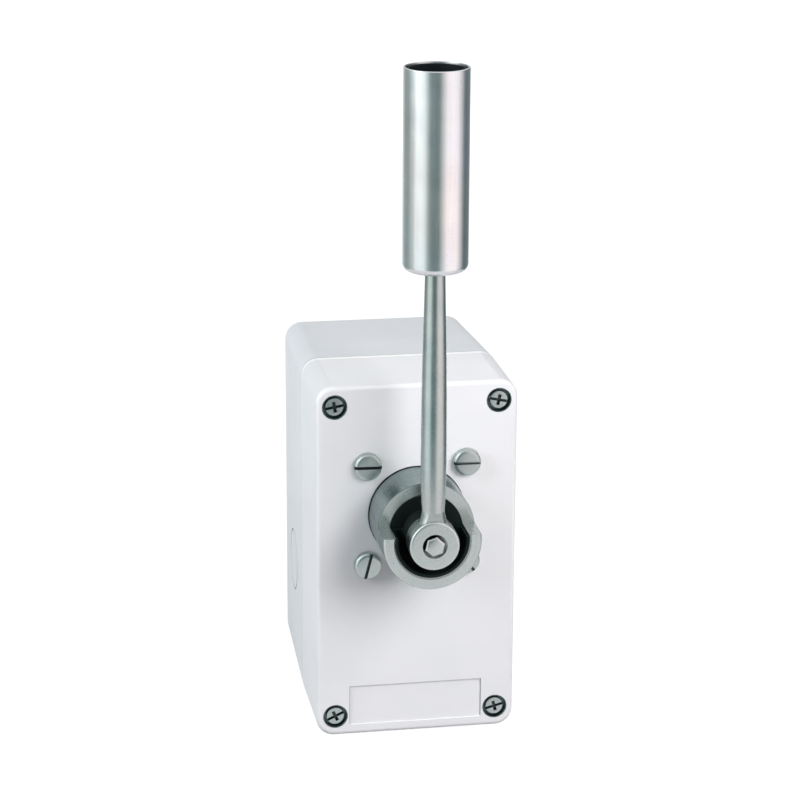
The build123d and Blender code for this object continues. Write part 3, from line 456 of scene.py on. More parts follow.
@dataclass(frozen=True)
class WorkedMetal:
    """A metal with fine marks that run one way, small pits, a slightly uneven polish, and painted shade in
    slots and round a bolt's seat.
    """

    name: str
    low: Colour
    high: Colour
    roughness: float
    roughness_spread: Pair = (-0.05, 0.07)
    grain: Place = (1, 1, 1)
    grain_scale: float = 900.0
    grain_depth: float = 0.00001
    grain_strength: float = 0.4
    turned: bool = False
    mark_rough: float = 0.6
    broad_ratio: float = 7
    mark_shares: Pair = (0.5, 0.5)
    cloud_scale: float = 90
    tone_shares: Pair = (0.6, 0.4)
    tone_span: Pair = (0.32, 0.68)
    pits: float = 0.0
    pit_scale: float = 1200
    pit_span: Pair = (0.70, 0.78)
    tints: tuple[Colour, Colour] = (WHITE, WHITE)
    tint_grain: Place = (1, 1, 0.45)
    tint_scale: float = 55
    tint_span: Pair = (0.38, 0.62)
    # Painted shade: slot floors, and the seat round a bolt, darkened most on the seat's upper-left side
    painted_shade: Colour = (0.012, 0.020, 0.020)
    shade_depth: Pair = (0.25, 1.0)
    shade_share: Pair = (0.0, 0.92)
    seat_radius: float = 0.0
    seat_front: float = 0.0
    seat_edges: Pair = (0.0002, 0.0008)
    seat_shade: Pair = (-0.002, 0.005)
    seat_share: Pair = (1.0, 0.1)
    rim_radius: float = 0.0
    rim_edge: float = 0.0002
    rim_tone: Colour = (0.225, 0.295, 0.295)
    rim_streak: Pair = (0.35, 0.7)
    rim_share: Pair = (1.0, 0.75)
    rim_scale: float = 420
    rim_grain: Place = (1, 0.1, 1)

    def material(self) -> bpy.types.Material:
        """Build the finish, from its marks to its pits.

        Returns:
            The material.
        """
        recipe = Recipe(self.name)
        recipe.set("Metallic", 1.0)
        way = recipe.turned_place() if self.turned else recipe.mapped(self.grain)
        marks = recipe.noise(way, self.grain_scale, detail=3, rough=self.mark_rough)
        broad = recipe.noise(way, self.grain_scale / self.broad_ratio)
        cloud = recipe.noise(recipe.mapped(), self.cloud_scale, detail=3)
        tone = recipe.weigh(marks, broad, self.mark_shares)
        tone = recipe.weigh(tone, cloud, self.tone_shares)
        colour = recipe.blend(recipe.span(tone, self.tone_span, RISE), self.low, self.high)
        hue = recipe.noise(recipe.mapped(self.tint_grain), self.tint_scale)
        hue = recipe.blend(recipe.span(hue, self.tint_span, RISE), *self.tints)
        colour = recipe.tinted(colour, hue)
        # Darker on the turned ring's outer side, streaked along its depth
        if self.rim_radius:
            colour = recipe.mix(self.outer_side_darkening(recipe, way), colour, self.rim_tone)
        speck = recipe.noise(recipe.mapped(), self.pit_scale, detail=1)
        pit = recipe.span(speck, self.pit_span, (0.0, self.pits))
        colour = recipe.mix(pit, colour, self.rim_tone)
        # Painted shade in slots and round the bolt's seat
        recipe.feed("Base Color", recipe.mix(self.painted_shade_mask(recipe, way), colour, self.painted_shade))
        ends = tuple(self.roughness + change for change in self.roughness_spread)
        recipe.feed("Roughness", recipe.span(tone, MIDRANGE, ends))
        recipe.relief(recipe.sum("SUBTRACT", marks, pit), self.grain_strength, self.grain_depth)
        return recipe.material

    def painted_shade_mask(self, recipe: Recipe, way: Socket) -> Socket:
        """Paint shade in slots, and round a bolt in its seat, heaviest on the seat's upper-left side.

        Args:
            recipe: The finish's node tree.
            way: The turned place, which the seat is found on.

        Returns:
            The mark's socket, from 0 to 1.
        """
        mark = recipe.span(recipe.recess(), self.shade_depth, self.shade_share)
        if not self.seat_radius:
            return mark
        radius, depth, _ = recipe.split(way)
        side, floor = self.seat_edges
        inside = recipe.span(radius, (self.seat_radius, self.seat_radius + side), FALL)
        behind = recipe.span(depth, (-self.seat_front, -self.seat_front + floor), RISE)
        x, _, z = recipe.axes((0, 0, SHAFT_HEIGHT))
        shaded_side = recipe.span(recipe.sum("SUBTRACT", x, z), self.seat_shade, self.seat_share)
        seat = recipe.sum("MULTIPLY", recipe.sum("MULTIPLY", inside, shaded_side), behind)
        return recipe.sum("MAXIMUM", mark, seat)

    def outer_side_darkening(self, recipe: Recipe, way: Socket) -> Socket:
        """Darken the turned ring's outer side, streaked along its depth.

        Args:
            recipe: The finish's node tree.
            way: The turned place.

        Returns:
            The mark's socket, from 0 to 1.
        """
        radius = recipe.split(way)[0]
        outer = recipe.span(radius, (self.rim_radius - self.rim_edge, self.rim_radius), RISE)
        streak = recipe.noise(recipe.mapped(self.rim_grain), self.rim_scale, detail=3)
        return recipe.sum("MULTIPLY", outer, recipe.span(streak, self.rim_streak, self.rim_share))


@dataclass(frozen=True)
class PlainPolymer:
    """A rubber or engineering plastic with a fine skin, light dust and soft sheen."""

    name: str
    low: Colour
    high: Colour
    roughness: float
    roughness_spread: Pair = (-0.05, 0.06)
    cloud_scale: float = 120
    cloud_span: Pair = (0.3, 0.75)
    skin_scale: float = 1200.0
    skin_depth: float = 0.00002
    skin_strength: float = 0.5
    shine: float = 0.5

    def material(self) -> bpy.types.Material:
        """Build the finish, from its dusty colour to its skin.

        Returns:
            The material.
        """
        recipe = Recipe(self.name)
        cloud = recipe.noise(recipe.mapped(), self.cloud_scale, detail=4)
        dust = recipe.span(cloud, self.cloud_span, RISE)
        recipe.feed("Base Color", recipe.blend(dust, self.low, self.high))
        ends = tuple(self.roughness + change for change in self.roughness_spread)
        recipe.feed("Roughness", recipe.span(cloud, MIDRANGE, ends))
        recipe.set("Specular IOR Level", self.shine)
        skin = recipe.noise(recipe.mapped(), self.skin_scale, detail=3)
        recipe.relief(skin, self.skin_strength, self.skin_depth)
        return recipe.material


FINISHES: dict[str, MouldedCase | WorkedMetal | PlainPolymer] = {
    "enclosure_plastic": MouldedCase(),
    "seal_rubber": PlainPolymer(
        "black_seal_rubber", (0.002, 0.005, 0.005), (0.006, 0.012, 0.012), 0.62, shine=0.16
    ),
    "insert_brass": WorkedMetal("turned_brass", (0.70, 0.50, 0.22), (0.83, 0.64, 0.32), 0.30, turned=True),
    "screw_steel": WorkedMetal(
        "plated_screw_steel", (0.39, 0.445, 0.435), (0.54, 0.59, 0.575), 0.30, grain_scale=260, pits=0.5
    ),
    # A dark steel for the cups that give the cover screws' counterbores painted shade
    "cup_steel": WorkedMetal("dark_shade_cup_steel", (0.07, 0.11, 0.11), (0.16, 0.21, 0.21), 0.38),
    "plated_steel": WorkedMetal(
        "zinc_plated_sheet",
        (0.52, 0.54, 0.56),
        (0.70, 0.71, 0.72),
        0.38,
        grain=(1, 1, 0.1),
        grain_scale=700,
    ),
    "turned_steel": WorkedMetal(
        "turned_steel",
        (0.50, 0.545, 0.535),
        (0.615, 0.655, 0.64),
        0.27,
        turned=True,
        grain_scale=2600,
        pits=0.2,
        grain_strength=0.1,
        # Painted shade round the hub bolt in its seat
        seat_radius=0.0047,
        seat_front=0.1455,
        # The ring is darker from this radius out
        rim_radius=0.0190,
    ),
    "rod_steel": WorkedMetal(
        "ground_rod_steel",
        (0.39, 0.435, 0.43),
        (0.54, 0.57, 0.56),
        0.26,
        grain=(1, 1, 0.04),
        pits=0.12,
        tints=((0.95, 1.0, 1.01), (1.03, 1.0, 0.98)),
    ),
    "roller_steel": WorkedMetal(
        "drawn_roller_steel",
        (0.68, 0.68, 0.675),
        (0.82, 0.82, 0.81),
        0.20,
        grain=(1, 1, 0.02),
        pits=0.35,
        tints=((0.955, 0.99, 1.035), (1.03, 0.99, 0.985)),
    ),
    "spring_steel": WorkedMetal("drawn_spring_wire", (0.30, 0.30, 0.31), (0.46, 0.46, 0.47), 0.32),
    "roller_plastic": PlainPolymer(
        "black_nylon", (0.003, 0.005, 0.006), (0.009, 0.012, 0.014), 0.6, shine=0.15
    ),
    "cam_plastic": PlainPolymer("white_acetal", (0.74, 0.73, 0.69), (0.80, 0.79, 0.75), 0.35),
    "switch_plastic": PlainPolymer("black_thermoset", (0.020, 0.020, 0.022), (0.045, 0.045, 0.048), 0.40),
    "plunger_plastic": PlainPolymer("red_acetal", (0.50, 0.05, 0.04), (0.60, 0.08, 0.06), 0.32),
    "contact_brass": WorkedMetal("stamped_contact_brass", (0.72, 0.54, 0.26), (0.83, 0.66, 0.36), 0.28),
}


class Wardrobe:
    """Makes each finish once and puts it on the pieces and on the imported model's nodes."""

    def __init__(self) -> None:
        """Make every finish's material."""
        self.materials = {slot: finish.material() for slot, finish in FINISHES.items()}
        self.slots = {part["node"]: part["material_slot"] for part in frame["record"]["subparts"]}

    def dress(self, piece: bpy.types.Object, slot: str) -> None:
        """Put one finish on a piece.

        Args:
            piece: The mesh object.
            slot: The record's material slot.
        """
        piece.data.materials.clear()
        piece.data.materials.append(self.materials[slot])

    def dress_nodes(self) -> int:
        """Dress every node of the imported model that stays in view.

        Returns:
            The number of nodes dressed.
        """
        for name, node in frame["nodes"].items():
            self.dress(node, self.slots[name])
        return len(frame["nodes"])


def shaft_frame(depth: float, x: float = 0.0, z: float = 0.0) -> Matrix:
    """Turn a shape drawn along +Z so that it points out of the front at a place round the shaft.

    Args:
        depth: The distance in front of the back face.
        x: The place to the right of the shaft's axis.
        z: The place above the shaft's axis.

    Returns:
        The matrix from the drawn shape to the frame.
    """
    out = Matrix.Rotation(math.radians(90), 4, "X")
    return Matrix.Translation((x, -depth, SHAFT_HEIGHT + z)) @ out


def spun(outline: list[Pair], steps: int) -> Shape:
    """Spin an outline a full turn about the Z axis.

    Args:
        outline: Points as (radius, height).
        steps: Faces round the turn.

    Returns:
        The turned mesh.
    """
    shape = bmesh.new()
    verts = [shape.verts.new((radius, 0, height)) for radius, height in outline]
    edges = [shape.edges.new(pair) for pair in zip(verts, verts[1:])]
    bmesh.ops.spin(
        shape,
        geom=verts + edges,
        cent=(0, 0, 0),
        axis=(0, 0, 1),
        angle=math.tau,
        steps=steps,
        use_merge=True,
    )
    bmesh.ops.remove_doubles(shape, verts=shape.verts, dist=1e-7)
    bmesh.ops.recalc_face_normals(shape, faces=shape.faces)
    return shape


def arc(centre: Pair, radius: float, start: float, end: float, steps: int) -> list[Pair]:
    """List the points of an arc in an outline.

    Args:
        centre: The arc's centre as (radius, height).
        radius: The arc's radius.
        start: The first angle in degrees, from the outward direction towards +Z.
        end: The last angle in degrees.
        steps: The number of spans.

    Returns:
        The points, both ends included.
    """
    turns = [math.radians(start + (end - start) * i / steps) for i in range(steps + 1)]
    return [(centre[0] + radius * math.cos(t), centre[1] + radius * math.sin(t)) for t in turns]


def place_shape(name: str, shape: Shape, finish: bpy.types.Material) -> bpy.types.Object:
    """Put a finished shape into the scene.

    Args:
        name: The object's name.
        shape: Its mesh, in the frame's own place. It is freed.
        finish: Its material.

    Returns:
        The object.
    """
    mesh = bpy.data.meshes.new(name)
    shape.to_mesh(mesh)
    shape.free()
    mesh.materials.append(finish)
    placed = bpy.data.objects.new(name, mesh)
    bpy.context.scene.collection.objects.link(placed)
    return placed


def make_piece(
    name: str,
    shape: Shape,
    body: Body,
    slot: str,
    wardrobe: Wardrobe,
    replaces: tuple[str, ...] = (),
    finish: str = "",
) -> bpy.types.Object:
    """Turn a finished shape into a dressed piece that rides on a body.

    Args:
        name: The piece's name.
        shape: Its mesh, in the frame's own place. It is freed.
        body: The body that it rides on.
        slot: The record's material slot.
        wardrobe: The finishes.
        replaces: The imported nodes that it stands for.
        finish: The finish, where it isn't the slot's own.

    Returns:
        The piece.
    """
    piece = place_shape(name, shape, wardrobe.materials[finish or slot])
    piece.data.shade_smooth()
    piece.data.set_sharp_from_angle(angle=math.radians(SHARP_DEG))
    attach(piece, body.value)
    if replaces:
        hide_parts(*replaces)
    log.info("%s: %d faces", name, len(piece.data.polygons))
    return piece


def add(target: Shape, source: Shape, place: Matrix) -> None:
    """Move a shape into place and add it to another.

    Args:
        target: The mesh that receives it.
        source: The shape, which is freed.
        place: The matrix that moves it.
    """
    bmesh.ops.transform(source, matrix=place, verts=source.verts)
    held = bpy.data.meshes.new("held")
    source.to_mesh(held)
    source.free()
    target.from_mesh(held)
    bpy.data.meshes.remove(held)


def slice_at(shape: Shape, place: Vector, normal: Vector) -> None:
    """Cut new edges into a shape where a plane crosses it.

    Args:
        shape: The mesh.
        place: A point of the plane.
        normal: The plane's normal.
    """
    parts = shape.verts[:] + shape.edges[:] + shape.faces[:]
    bmesh.ops.bisect_plane(shape, geom=parts, plane_co=place, plane_no=normal)


@dataclass
class SlottedHead:
    """A screw with a round head that has a slot cut across it, or a slot and a shorter cross."""

    radius: float
    height: float
    edge: float
    slot_width: float
    slot_depth: float
    shank_radius: float = 0.002
    shank_length: float = 0.010
    cross: bool = False
    cross_width: float = 1.2
    cross_reach: float = 0.6
    foot_edge: float = 0.15
    slack: float = 1e-6

    def build(self, turn_deg: float) -> Shape:
        """Build one screw along +Z, its head's seat at height 0.

        Args:
            turn_deg: The slot's turn from the X axis.

        Returns:
            The screw's mesh.
        """
        foot = self.edge * self.foot_edge
        outline = [(0, -self.shank_length), (self.shank_radius, -self.shank_length), (self.shank_radius, 0)]
        outline += [(self.radius - foot, 0), (self.radius, foot)]
        outline += arc((self.radius - self.edge, self.height - self.edge), self.edge, 0, 90, 6)
        shape = spun([*outline, (0, self.height)], HEAD_STEPS)
        self.cut(shape, turn_deg)
        return shape

    def cut(self, shape: Shape, turn_deg: float) -> None:
        """Sink the slot, and the shorter cross over it, into the head.

        Args:
            shape: The screw's mesh.
            turn_deg: The slot's turn from the X axis.
        """
        half = self.slot_width / 2
        along = Matrix.Rotation(math.radians(turn_deg), 3, "Z")
        bars = [(along, half, self.radius)]
        if self.cross:
            over = along @ Matrix.Rotation(math.radians(90), 3, "Z")
            bars.append((over, half * self.cross_width, self.radius * self.cross_reach))
        sideways, endways = Vector((0, 1, 0)), Vector((1, 0, 0))
        for way, width, length in bars:
            for normal, reach in ((sideways, width), (endways, length)):
                if reach < self.radius:
                    slice_at(shape, way @ (normal * reach), way @ normal)
                    slice_at(shape, way @ (normal * -reach), way @ normal)
        floor = self.height - self.slot_depth
        slice_at(shape, Vector((0, 0, floor)), Vector((0, 0, 1)))
        gone = [face for face in shape.faces if self.in_slot(face.calc_center_median(), bars)]
        bmesh.ops.delete(shape, geom=gone, context="FACES")
        # The slot floors get a recess value of 1, which the screw steel reads to paint shade there
        depth = shape.verts.layers.float.new(RECESS)
        rims = [edge for edge in shape.edges if edge.is_boundary]
        walls = bmesh.ops.extrude_edge_only(shape, edges=rims)["geom"]
        for vert in (item for item in walls if isinstance(item, bmesh.types.BMVert)):
            vert.co.z = floor
            vert[depth] = 1.0
        bmesh.ops.remove_doubles(shape, verts=shape.verts, dist=self.slack)
        loops = [edge for edge in shape.edges if edge.is_boundary]
        bmesh.ops.contextual_create(shape, geom=loops)
        bmesh.ops.recalc_face_normals(shape, faces=shape.faces)

    def in_slot(self, middle: Vector, bars: list[tuple[Matrix, float, float]]) -> bool:
        """Tell whether a face's middle lies in the part that the slot takes away.

        Args:
            middle: The face's middle.
            bars: Each bar's turn, half its width and half its length.

        Returns:
            True where it does.
        """
        if middle.z < self.height - self.slot_depth - self.slack:
            return False
        for way, width, length in bars:
            local = way.transposed() @ middle
            if abs(local.y) < width - self.slack and abs(local.x) < length - self.slack:
                return True
        return False


@dataclass
class ScrewCup:
    """The dark cup that lines a counterbore round its screw and gives the counterbore painted shade."""

    inner: float = 0.0036
    outer: float = 0.00496
    height: float = 0.0030
    wall: float = 0.0004
    lip: float = 0.00015

    def build(self) -> Shape:
        """Build one cup along +Z, its floor at height 0.

        Returns:
            The cup's mesh.
        """
        rim = arc((self.outer - self.lip, self.height - self.lip), self.lip, 0, 90, 3)
        rim += arc((self.outer - self.wall + self.lip, self.height - self.lip), self.lip, 90, 180, 3)
        floor = [(self.outer - self.wall, self.wall), (self.inner, self.wall), (self.inner, 0)]
        return spun([(self.inner, 0), (self.outer, 0), *rim, *floor], HEAD_STEPS)


@dataclass
class CoverScrews:
    """The screws in the cover's corners and their cups, and the pan heads round the collar."""

    corner_spacing: Pair = (0.065, 0.1295)
    corner_seat: float = COVER_FACE - 0.0032
    collar_spacing: Pair = (0.0394, 0.041)

    def build(self, wardrobe: Wardrobe) -> None:
        """Build and place every screw of the cover.

        Args:
            wardrobe: The finishes.
        """
        self.corner_screws(wardrobe)
        self.collar_screws(wardrobe)

    def corner_screws(self, wardrobe: Wardrobe) -> None:
        """Build the four screws in the counterbores, and the dark cups round them that give the
        counterbores painted shade.

        Args:
            wardrobe: The finishes.
        """
        head = SlottedHead(
            radius=0.0036,
            height=0.0026,
            edge=0.0004,
            slot_width=0.0011,
            slot_depth=0.0015,
            shank_length=0.0488,
            cross=True,
        )
        screws = bmesh.new()
        cups = bmesh.new()
        for (side, level), turn in {(-1, 1): 10, (1, 1): -12, (-1, -1): 25, (1, -1): 15}.items():
            x, z = side * self.corner_spacing[0] / 2, level * self.corner_spacing[1] / 2
            place = shaft_frame(self.corner_seat, x, z - SHAFT_HEIGHT)
            add(screws, head.build(turn), place)
            add(cups, ScrewCup().build(), place)
        housing, slot = Body.HOUSING, "screw_steel"
        make_piece("cover_screw_set", screws, housing, slot, wardrobe, ("cover_screws",))
        # Dark cups that give the counterbores painted shade
        make_piece("cover_screw_cup_set", cups, housing, slot, wardrobe, finish="cup_steel")

    def collar_screws(self, wardrobe: Wardrobe) -> None:
        """Build the four slotted pan-head screws round the collar.

        Args:
            wardrobe: The finishes.
        """
        head = SlottedHead(
            radius=0.0055,
            height=0.0034,
            edge=0.0015,
            slot_width=0.0012,
            slot_depth=0.0014,
            shank_radius=0.0025,
            shank_length=0.009,
        )
        shape = bmesh.new()
        for (side, level), turn in {(-1, 1): -1, (1, 1): 0, (-1, -1): 76, (1, -1): -52}.items():
            x, z = side * self.collar_spacing[0] / 2, level * self.collar_spacing[1] / 2
            add(shape, head.build(turn), shaft_frame(COVER_FACE, x, z))
        make_piece("plate_screw_set", shape, Body.HOUSING, "screw_steel", wardrobe, ("plate_screws",))


@dataclass
class HubBolt:
    """The hexagon bolt in the lever's hub."""

    flats: float = 0.0072
    height: float = 0.0035
    turn_deg: float = 108.0
    crown: float = 0.0011
    crown_from: float = 0.9
    shank_radius: float = 0.0025
    shank_length: float = 0.016

    def build(self, wardrobe: Wardrobe) -> None:
        """Build the bolt with a bevelled crown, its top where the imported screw's is.

        Args:
            wardrobe: The finishes.
        """
        seat = -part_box("clamp_screw")[0].y - self.height
        corner = self.flats / math.sqrt(3)
        shape = bmesh.new()
        verts = bmesh.ops.create_cone(
            shape, segments=6, radius1=corner, radius2=corner, depth=self.height, cap_ends=True
        )["verts"]
        turn = Matrix.Rotation(math.radians(self.turn_deg), 3, "Z")
        bmesh.ops.rotate(shape, verts=verts, matrix=turn)
        bmesh.ops.translate(shape, verts=verts, vec=(0, 0, self.height / 2))
        top = self.height * self.crown_from
        rim = [edge for edge in shape.edges if all(vert.co.z > top for vert in edge.verts)]
        bmesh.ops.bevel(
            shape, geom=rim, offset=self.crown, segments=4, profile=0.5, affect="EDGES", material=-1
        )
        end = -self.shank_length
        shank = spun([(0, end), (self.shank_radius, end), (self.shank_radius, 0)], SHANK_STEPS)
        add(shape, shank, Matrix.Identity(4))
        bmesh.ops.transform(shape, matrix=shaft_frame(seat), verts=shape.verts)
        lever, slot = Body.LEVER, "screw_steel"
        make_piece("hub_bolt", shape, lever, slot, wardrobe, ("clamp_screw",), finish="turned_steel")


@dataclass
class Roller:
    """The drawn steel tube that turns on the rod, open at the top."""

    bottom: float = 0.127
    length: float = 0.0758
    radius: float = 0.01229
    wall: float = 0.0008
    edge: float = 0.003
    bore: float = 0.0041
    lip: float = 0.0003
    bands: int = 6

    def build(self, wardrobe: Wardrobe) -> None:
        """Build the tube as one outline with an inner and an outer wall.

        Args:
            wardrobe: The finishes.
        """
        top, lip = self.length - self.lip, self.lip
        bend = (self.radius - self.edge, self.edge)
        outer = [(self.bore, 0.0), *arc(bend, self.edge, -90, 0, 12)]
        outer += [(self.radius, self.length * band / self.bands) for band in range(1, self.bands)]
        rim = arc((self.radius - lip, top), lip, 0, 90, 4)
        rim += arc((self.radius - self.wall + lip, top), lip, 90, 180, 4)
        inner = arc(bend, self.edge - self.wall, 0, -90, 8)
        shape = spun([*outer, *rim, *inner, (self.bore, self.wall), (self.bore, 0.0)], TUBE_STEPS)
        low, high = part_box("roller_shell")
        bmesh.ops.translate(shape, verts=shape.verts, vec=(0, (low.y + high.y) / 2, self.bottom))
        make_piece("roller_tube", shape, Body.ROLLER, "roller_steel", wardrobe, ("roller_shell",))


@dataclass
class CollarLip:
    """A thin dark ring round the collar's foot, on the cover's face."""

    inner: float = 0.0188
    outer: float = 0.0194
    proud: float = 0.0004
    sunk: float = 0.0001

    def build(self, wardrobe: Wardrobe) -> None:
        """Build the ring on the cover's face.

        Args:
            wardrobe: The finishes.
        """
        edge = self.proud / 2
        bulge = arc((self.outer - edge, self.proud - edge), edge, 0, 90, 4)
        ring = [(self.inner, -self.sunk), (self.outer, -self.sunk), *bulge, (self.inner, self.proud)]
        shape = spun([*ring, ring[0]], TUBE_STEPS)
        bmesh.ops.transform(shape, matrix=shaft_frame(COVER_FACE), verts=shape.verts)
        make_piece("collar_lip", shape, Body.HOUSING, "seal_rubber", wardrobe)


@dataclass
class EntryThread:
    """The moulded ridges in the cable entry's bore, which take a gland."""

    place: Place = (0.0, -0.030, -0.0727)
    outer: float = 0.00935
    valley: float = 0.00915
    crest: float = 0.0087
    pitch: float = 0.0015
    flanks: Pair = (0.4, 0.6)
    turns: int = 5

    def build(self, wardrobe: Wardrobe) -> None:
        """Build the ridges as one closed sleeve.

        Args:
            wardrobe: The finishes.
        """
        inner = []
        for turn in range(self.turns, 0, -1):
            top = turn * self.pitch
            inner.append((self.valley, top))
            inner += [(self.crest, top - share * self.pitch) for share in self.flanks]
        wall = [(self.outer, 0.0), (self.outer, self.turns * self.pitch), *inner, (self.valley, 0.0)]
        shape = spun([*wall, wall[0]], BORE_STEPS)
        bmesh.ops.translate(shape, verts=shape.verts, vec=self.place)
        make_piece("entry_thread", shape, Body.HOUSING, "enclosure_plastic", wardrobe)


@dataclass(frozen=True)
class Window:
    """A soft window lamp that faces the object."""

    name: str
    place: Place
    size: Pair
    power: float
    colour: Colour
    mirrored: bool = True
    aim: Place = (0, -0.06, 0.05)

    def hang(self) -> None:
        """Hang the lamp, seen by nothing but surfaces, and by polished ones only if mirrored."""
        data = bpy.data.lights.new(self.name, "AREA")
        data.shape = "RECTANGLE"
        data.size, data.size_y = self.size
        data.energy = self.power
        data.color = self.colour
        lamp = bpy.data.objects.new(self.name, data)
        lamp.location = self.place
        lamp.visible_camera = False
        lamp.visible_glossy = self.mirrored
        way = Vector(self.aim) - Vector(self.place)
        lamp.rotation_euler = way.to_track_quat("-Z", "Y").to_euler()
        bpy.context.scene.collection.objects.link(lamp)


@dataclass
class Studio:
    """The pale floor, the camera at the photograph's angle, the lamps and the reflecting screen."""

    camera_place: Place = (-0.1768, -1.0776, 0.3653)
    forward: Place = (0.1649, 0.9428, -0.2898)
    upward: Place = (0.0454, 0.2863, 0.9571)
    lens: float = 119.47
    sensor_width: float = 36.0
    clip: Pair = (0.01, 50.0)
    windows: tuple[Window, ...] = (
        Window("key_window", (0.32, -0.62, 0.35), (0.42, 0.42), 4.5, (1.0, 0.985, 0.98), mirrored=False),
        Window("left_window", (-0.67, -0.24, 0.40), (0.4, 0.45), 4.8, (0.95, 0.99, 1.0)),
        Window("back_window", (0.65, 1.60, 0.12), (1.3, 0.9), 12.0, (0.97, 0.985, 1.0)),
    )
    sky: float = 0.235
    floor_size: float = 6.0
    floor_gap: float = 0.0002
    floor_colour: Colour = (0.30, 0.30, 0.31)
    floor_fade: float = 0.985
    floor_grain: float = 60
    floor_roughness: float = 0.9
    near_glow: float = 0.84
    far_glow: float = 0.90
    glow_reach: Pair = (0.25, 1.6)
    mirrored_glow: float = 0.50
    screen_radius: float = 0.32
    screen_height: float = 0.42
    screen_depth: float = 0.12
    screen_stops: tuple[tuple[float, Colour], ...] = (
        (0.000, (0.66, 0.72, 0.72)),
        (0.030, (1.06, 1.16, 1.17)),
        (0.120, (1.04, 1.15, 1.17)),
        (0.152, (0.42, 0.50, 0.50)),
        (0.186, (0.19, 0.27, 0.27)),
        (0.250, (0.18, 0.235, 0.24)),
        (0.282, (0.62, 0.66, 0.66)),
        (0.325, (1.26, 1.15, 1.17)),
        (0.420, (1.26, 1.15, 1.15)),
        (0.470, (0.70, 0.68, 0.70)),
        (0.520, (0.14, 0.18, 0.19)),
        (0.620, (0.20, 0.25, 0.26)),
        (0.665, (0.45, 0.49, 0.50)),
        (0.695, (0.66, 0.68, 0.70)),
        (0.750, (0.64, 0.67, 0.69)),
        (0.775, (0.84, 0.90, 0.90)),
        (0.800, (0.84, 0.90, 0.90)),
        (0.850, (0.34, 0.40, 0.40)),
        (0.925, (0.30, 0.37, 0.36)),
        (1.000, (0.66, 0.72, 0.72)),
    )

    def build(self) -> None:
        """Build everything that isn't part of the object."""
        bpy.context.scene.view_settings.view_transform = "Standard"
        self.camera()
        self.floor()
        self.world()
        self.screen()
        for window in self.windows:
            window.hang()

    def screen(self) -> None:
        """Stand a round screen about the object that only polished surfaces see."""
        shape = bmesh.new()
        bmesh.ops.create_circle(shape, segments=TUBE_STEPS, radius=self.screen_radius, cap_ends=False)
        wall = bmesh.ops.extrude_edge_only(shape, edges=shape.edges[:])["geom"]
        raised = [item for item in wall if isinstance(item, bmesh.types.BMVert)]
        bmesh.ops.translate(shape, verts=raised, vec=(0, 0, self.screen_height))
        bmesh.ops.translate(shape, verts=shape.verts, vec=(0, -self.screen_depth, FLOOR_HEIGHT))
        screen = place_shape("studio_screen", shape, self.screen_material())
        for use in ("camera", "diffuse", "transmission", "volume_scatter", "shadow"):
            setattr(screen, f"visible_{use}", False)

    def screen_material(self) -> bpy.types.Material:
        """Make the screen's light and dark panels, which run into each other round the object.

        Returns:
            The material.
        """
        recipe = Recipe("studio_screen")
        round_about = recipe.nodes.new("ShaderNodeTexGradient")
        round_about.gradient_type = "RADIAL"
        recipe.links.new(recipe.mapped(centre=(0, -self.screen_depth, 0)), round_about.inputs["Vector"])
        ramp = recipe.nodes.new("ShaderNodeValToRGB")
        while len(ramp.color_ramp.elements) > 1:
            ramp.color_ramp.elements.remove(ramp.color_ramp.elements[-1])
        first, *others = self.screen_stops
        ramp.color_ramp.elements[0].position = first[0]
        ramp.color_ramp.elements[0].color = (*first[1], 1.0)
        for place, colour in others:
            ramp.color_ramp.elements.new(place).color = (*colour, 1.0)
        recipe.links.new(round_about.outputs["Fac"], ramp.inputs["Fac"])
        glow = recipe.nodes.new("ShaderNodeEmission")
        recipe.links.new(ramp.outputs["Color"], glow.inputs["Color"])
        recipe.links.new(glow.outputs["Emission"], recipe.output.inputs["Surface"])
        return recipe.material

    def camera(self) -> None:
        """Place the camera where the photograph was taken from."""
        data = bpy.data.cameras.new("view")
        data.lens = self.lens
        data.sensor_width = self.sensor_width
        data.clip_start, data.clip_end = self.clip
        view = bpy.data.objects.new("view", data)
        forward = Vector(self.forward).normalized()
        right = forward.cross(Vector(self.upward)).normalized()
        up = right.cross(forward)
        turn = Matrix((right, up, -forward)).transposed().to_4x4()
        view.matrix_world = Matrix.Translation(self.camera_place) @ turn
        bpy.context.scene.collection.objects.link(view)
        bpy.context.scene.camera = view

    def floor(self) -> None:
        """Lay the pale floor just under the object."""
        shape = bmesh.new()
        bmesh.ops.create_grid(shape, x_segments=8, y_segments=8, size=self.floor_size)
        bmesh.ops.translate(shape, verts=shape.verts, vec=(0, 0, FLOOR_HEIGHT - self.floor_gap))
        floor = place_shape("studio_floor", shape, self.floor_material())

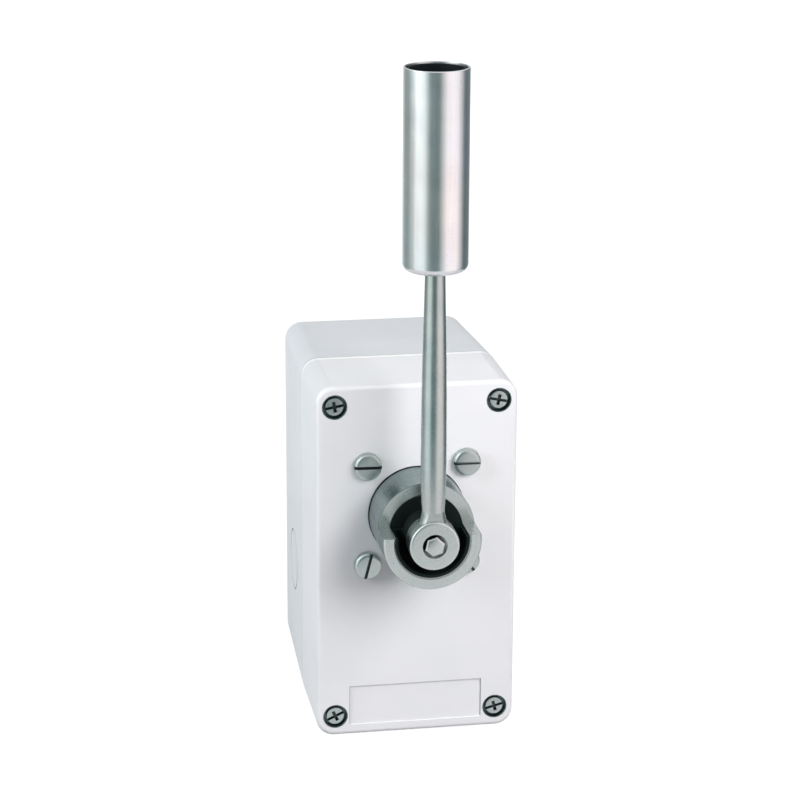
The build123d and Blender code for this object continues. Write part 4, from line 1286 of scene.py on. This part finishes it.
    def floor_material(self) -> bpy.types.Material:
        """Make the floor's finish, which shows as white but keeps the shadow.

        Returns:
            The material.
        """
        recipe = Recipe("studio_floor")
        grain = recipe.noise(recipe.mapped(), self.floor_grain, detail=3)
        low = tuple(self.floor_fade * part for part in self.floor_colour)
        recipe.feed("Base Color", recipe.blend(grain, low, self.floor_colour))
        recipe.set("Roughness", self.floor_roughness)
        glow = recipe.nodes.new("ShaderNodeEmission")
        glow.inputs["Color"].default_value = (*WHITE, 1.0)
        away = recipe.nodes.new("ShaderNodeVectorMath")
        away.operation = "LENGTH"
        recipe.links.new(recipe.place, away.inputs[0])
        far = recipe.span(away.outputs["Value"], self.glow_reach, (self.near_glow, self.far_glow))
        path = recipe.nodes.new("ShaderNodeLightPath")
        straight = recipe.sum("MAXIMUM", path.outputs["Is Camera Ray"], path.outputs["Is Transmission Ray"])
        shown = recipe.sum("MULTIPLY", straight, far)
        mirrored = recipe.sum("MULTIPLY", path.outputs["Is Glossy Ray"], self.mirrored_glow)
        recipe.links.new(recipe.sum("ADD", shown, mirrored), glow.inputs["Strength"])
        both = recipe.nodes.new("ShaderNodeAddShader")
        recipe.links.new(recipe.surface.outputs["BSDF"], both.inputs[0])
        recipe.links.new(glow.outputs["Emission"], both.inputs[1])
        recipe.links.new(both.outputs["Shader"], recipe.output.inputs["Surface"])
        return recipe.material

    def world(self) -> None:
        """Give soft light from all round, and white where the world itself is seen."""
        world = bpy.data.worlds.new("studio")
        bpy.context.scene.world = world
        world.use_nodes = True
        tree = world.node_tree
        tree.nodes.clear()
        path = tree.nodes.new("ShaderNodeLightPath")
        seen = path.outputs["Is Camera Ray"]
        for name in ("Is Glossy Ray", "Is Transmission Ray"):
            either = tree.nodes.new("ShaderNodeMath")
            either.operation = "MAXIMUM"
            tree.links.new(seen, either.inputs[0])
            tree.links.new(path.outputs[name], either.inputs[1])
            seen = either.outputs["Value"]
        strength = tree.nodes.new("ShaderNodeMapRange")
        strength.inputs["To Min"].default_value = self.sky
        strength.inputs["To Max"].default_value = 1.0
        tree.links.new(seen, strength.inputs["Value"])
        back = tree.nodes.new("ShaderNodeBackground")
        back.inputs["Color"].default_value = (*WHITE, 1.0)
        tree.links.new(strength.outputs["Result"], back.inputs["Strength"])
        out = tree.nodes.new("ShaderNodeOutputWorld")
        tree.links.new(back.outputs["Background"], out.inputs["Surface"])


def main() -> None:
    """Dress the frame, build the pieces and light the set."""
    logging.basicConfig(level=logging.INFO, format="%(name)s: %(message)s")
    wardrobe = Wardrobe()
    log.info("dressed %d packed nodes", wardrobe.dress_nodes())
    for assembly in (CoverScrews(), HubBolt(), Roller(), CollarLip(), EntryThread()):
        assembly.build(wardrobe)
    Studio().build()


if __name__ == "__main__":
    main()
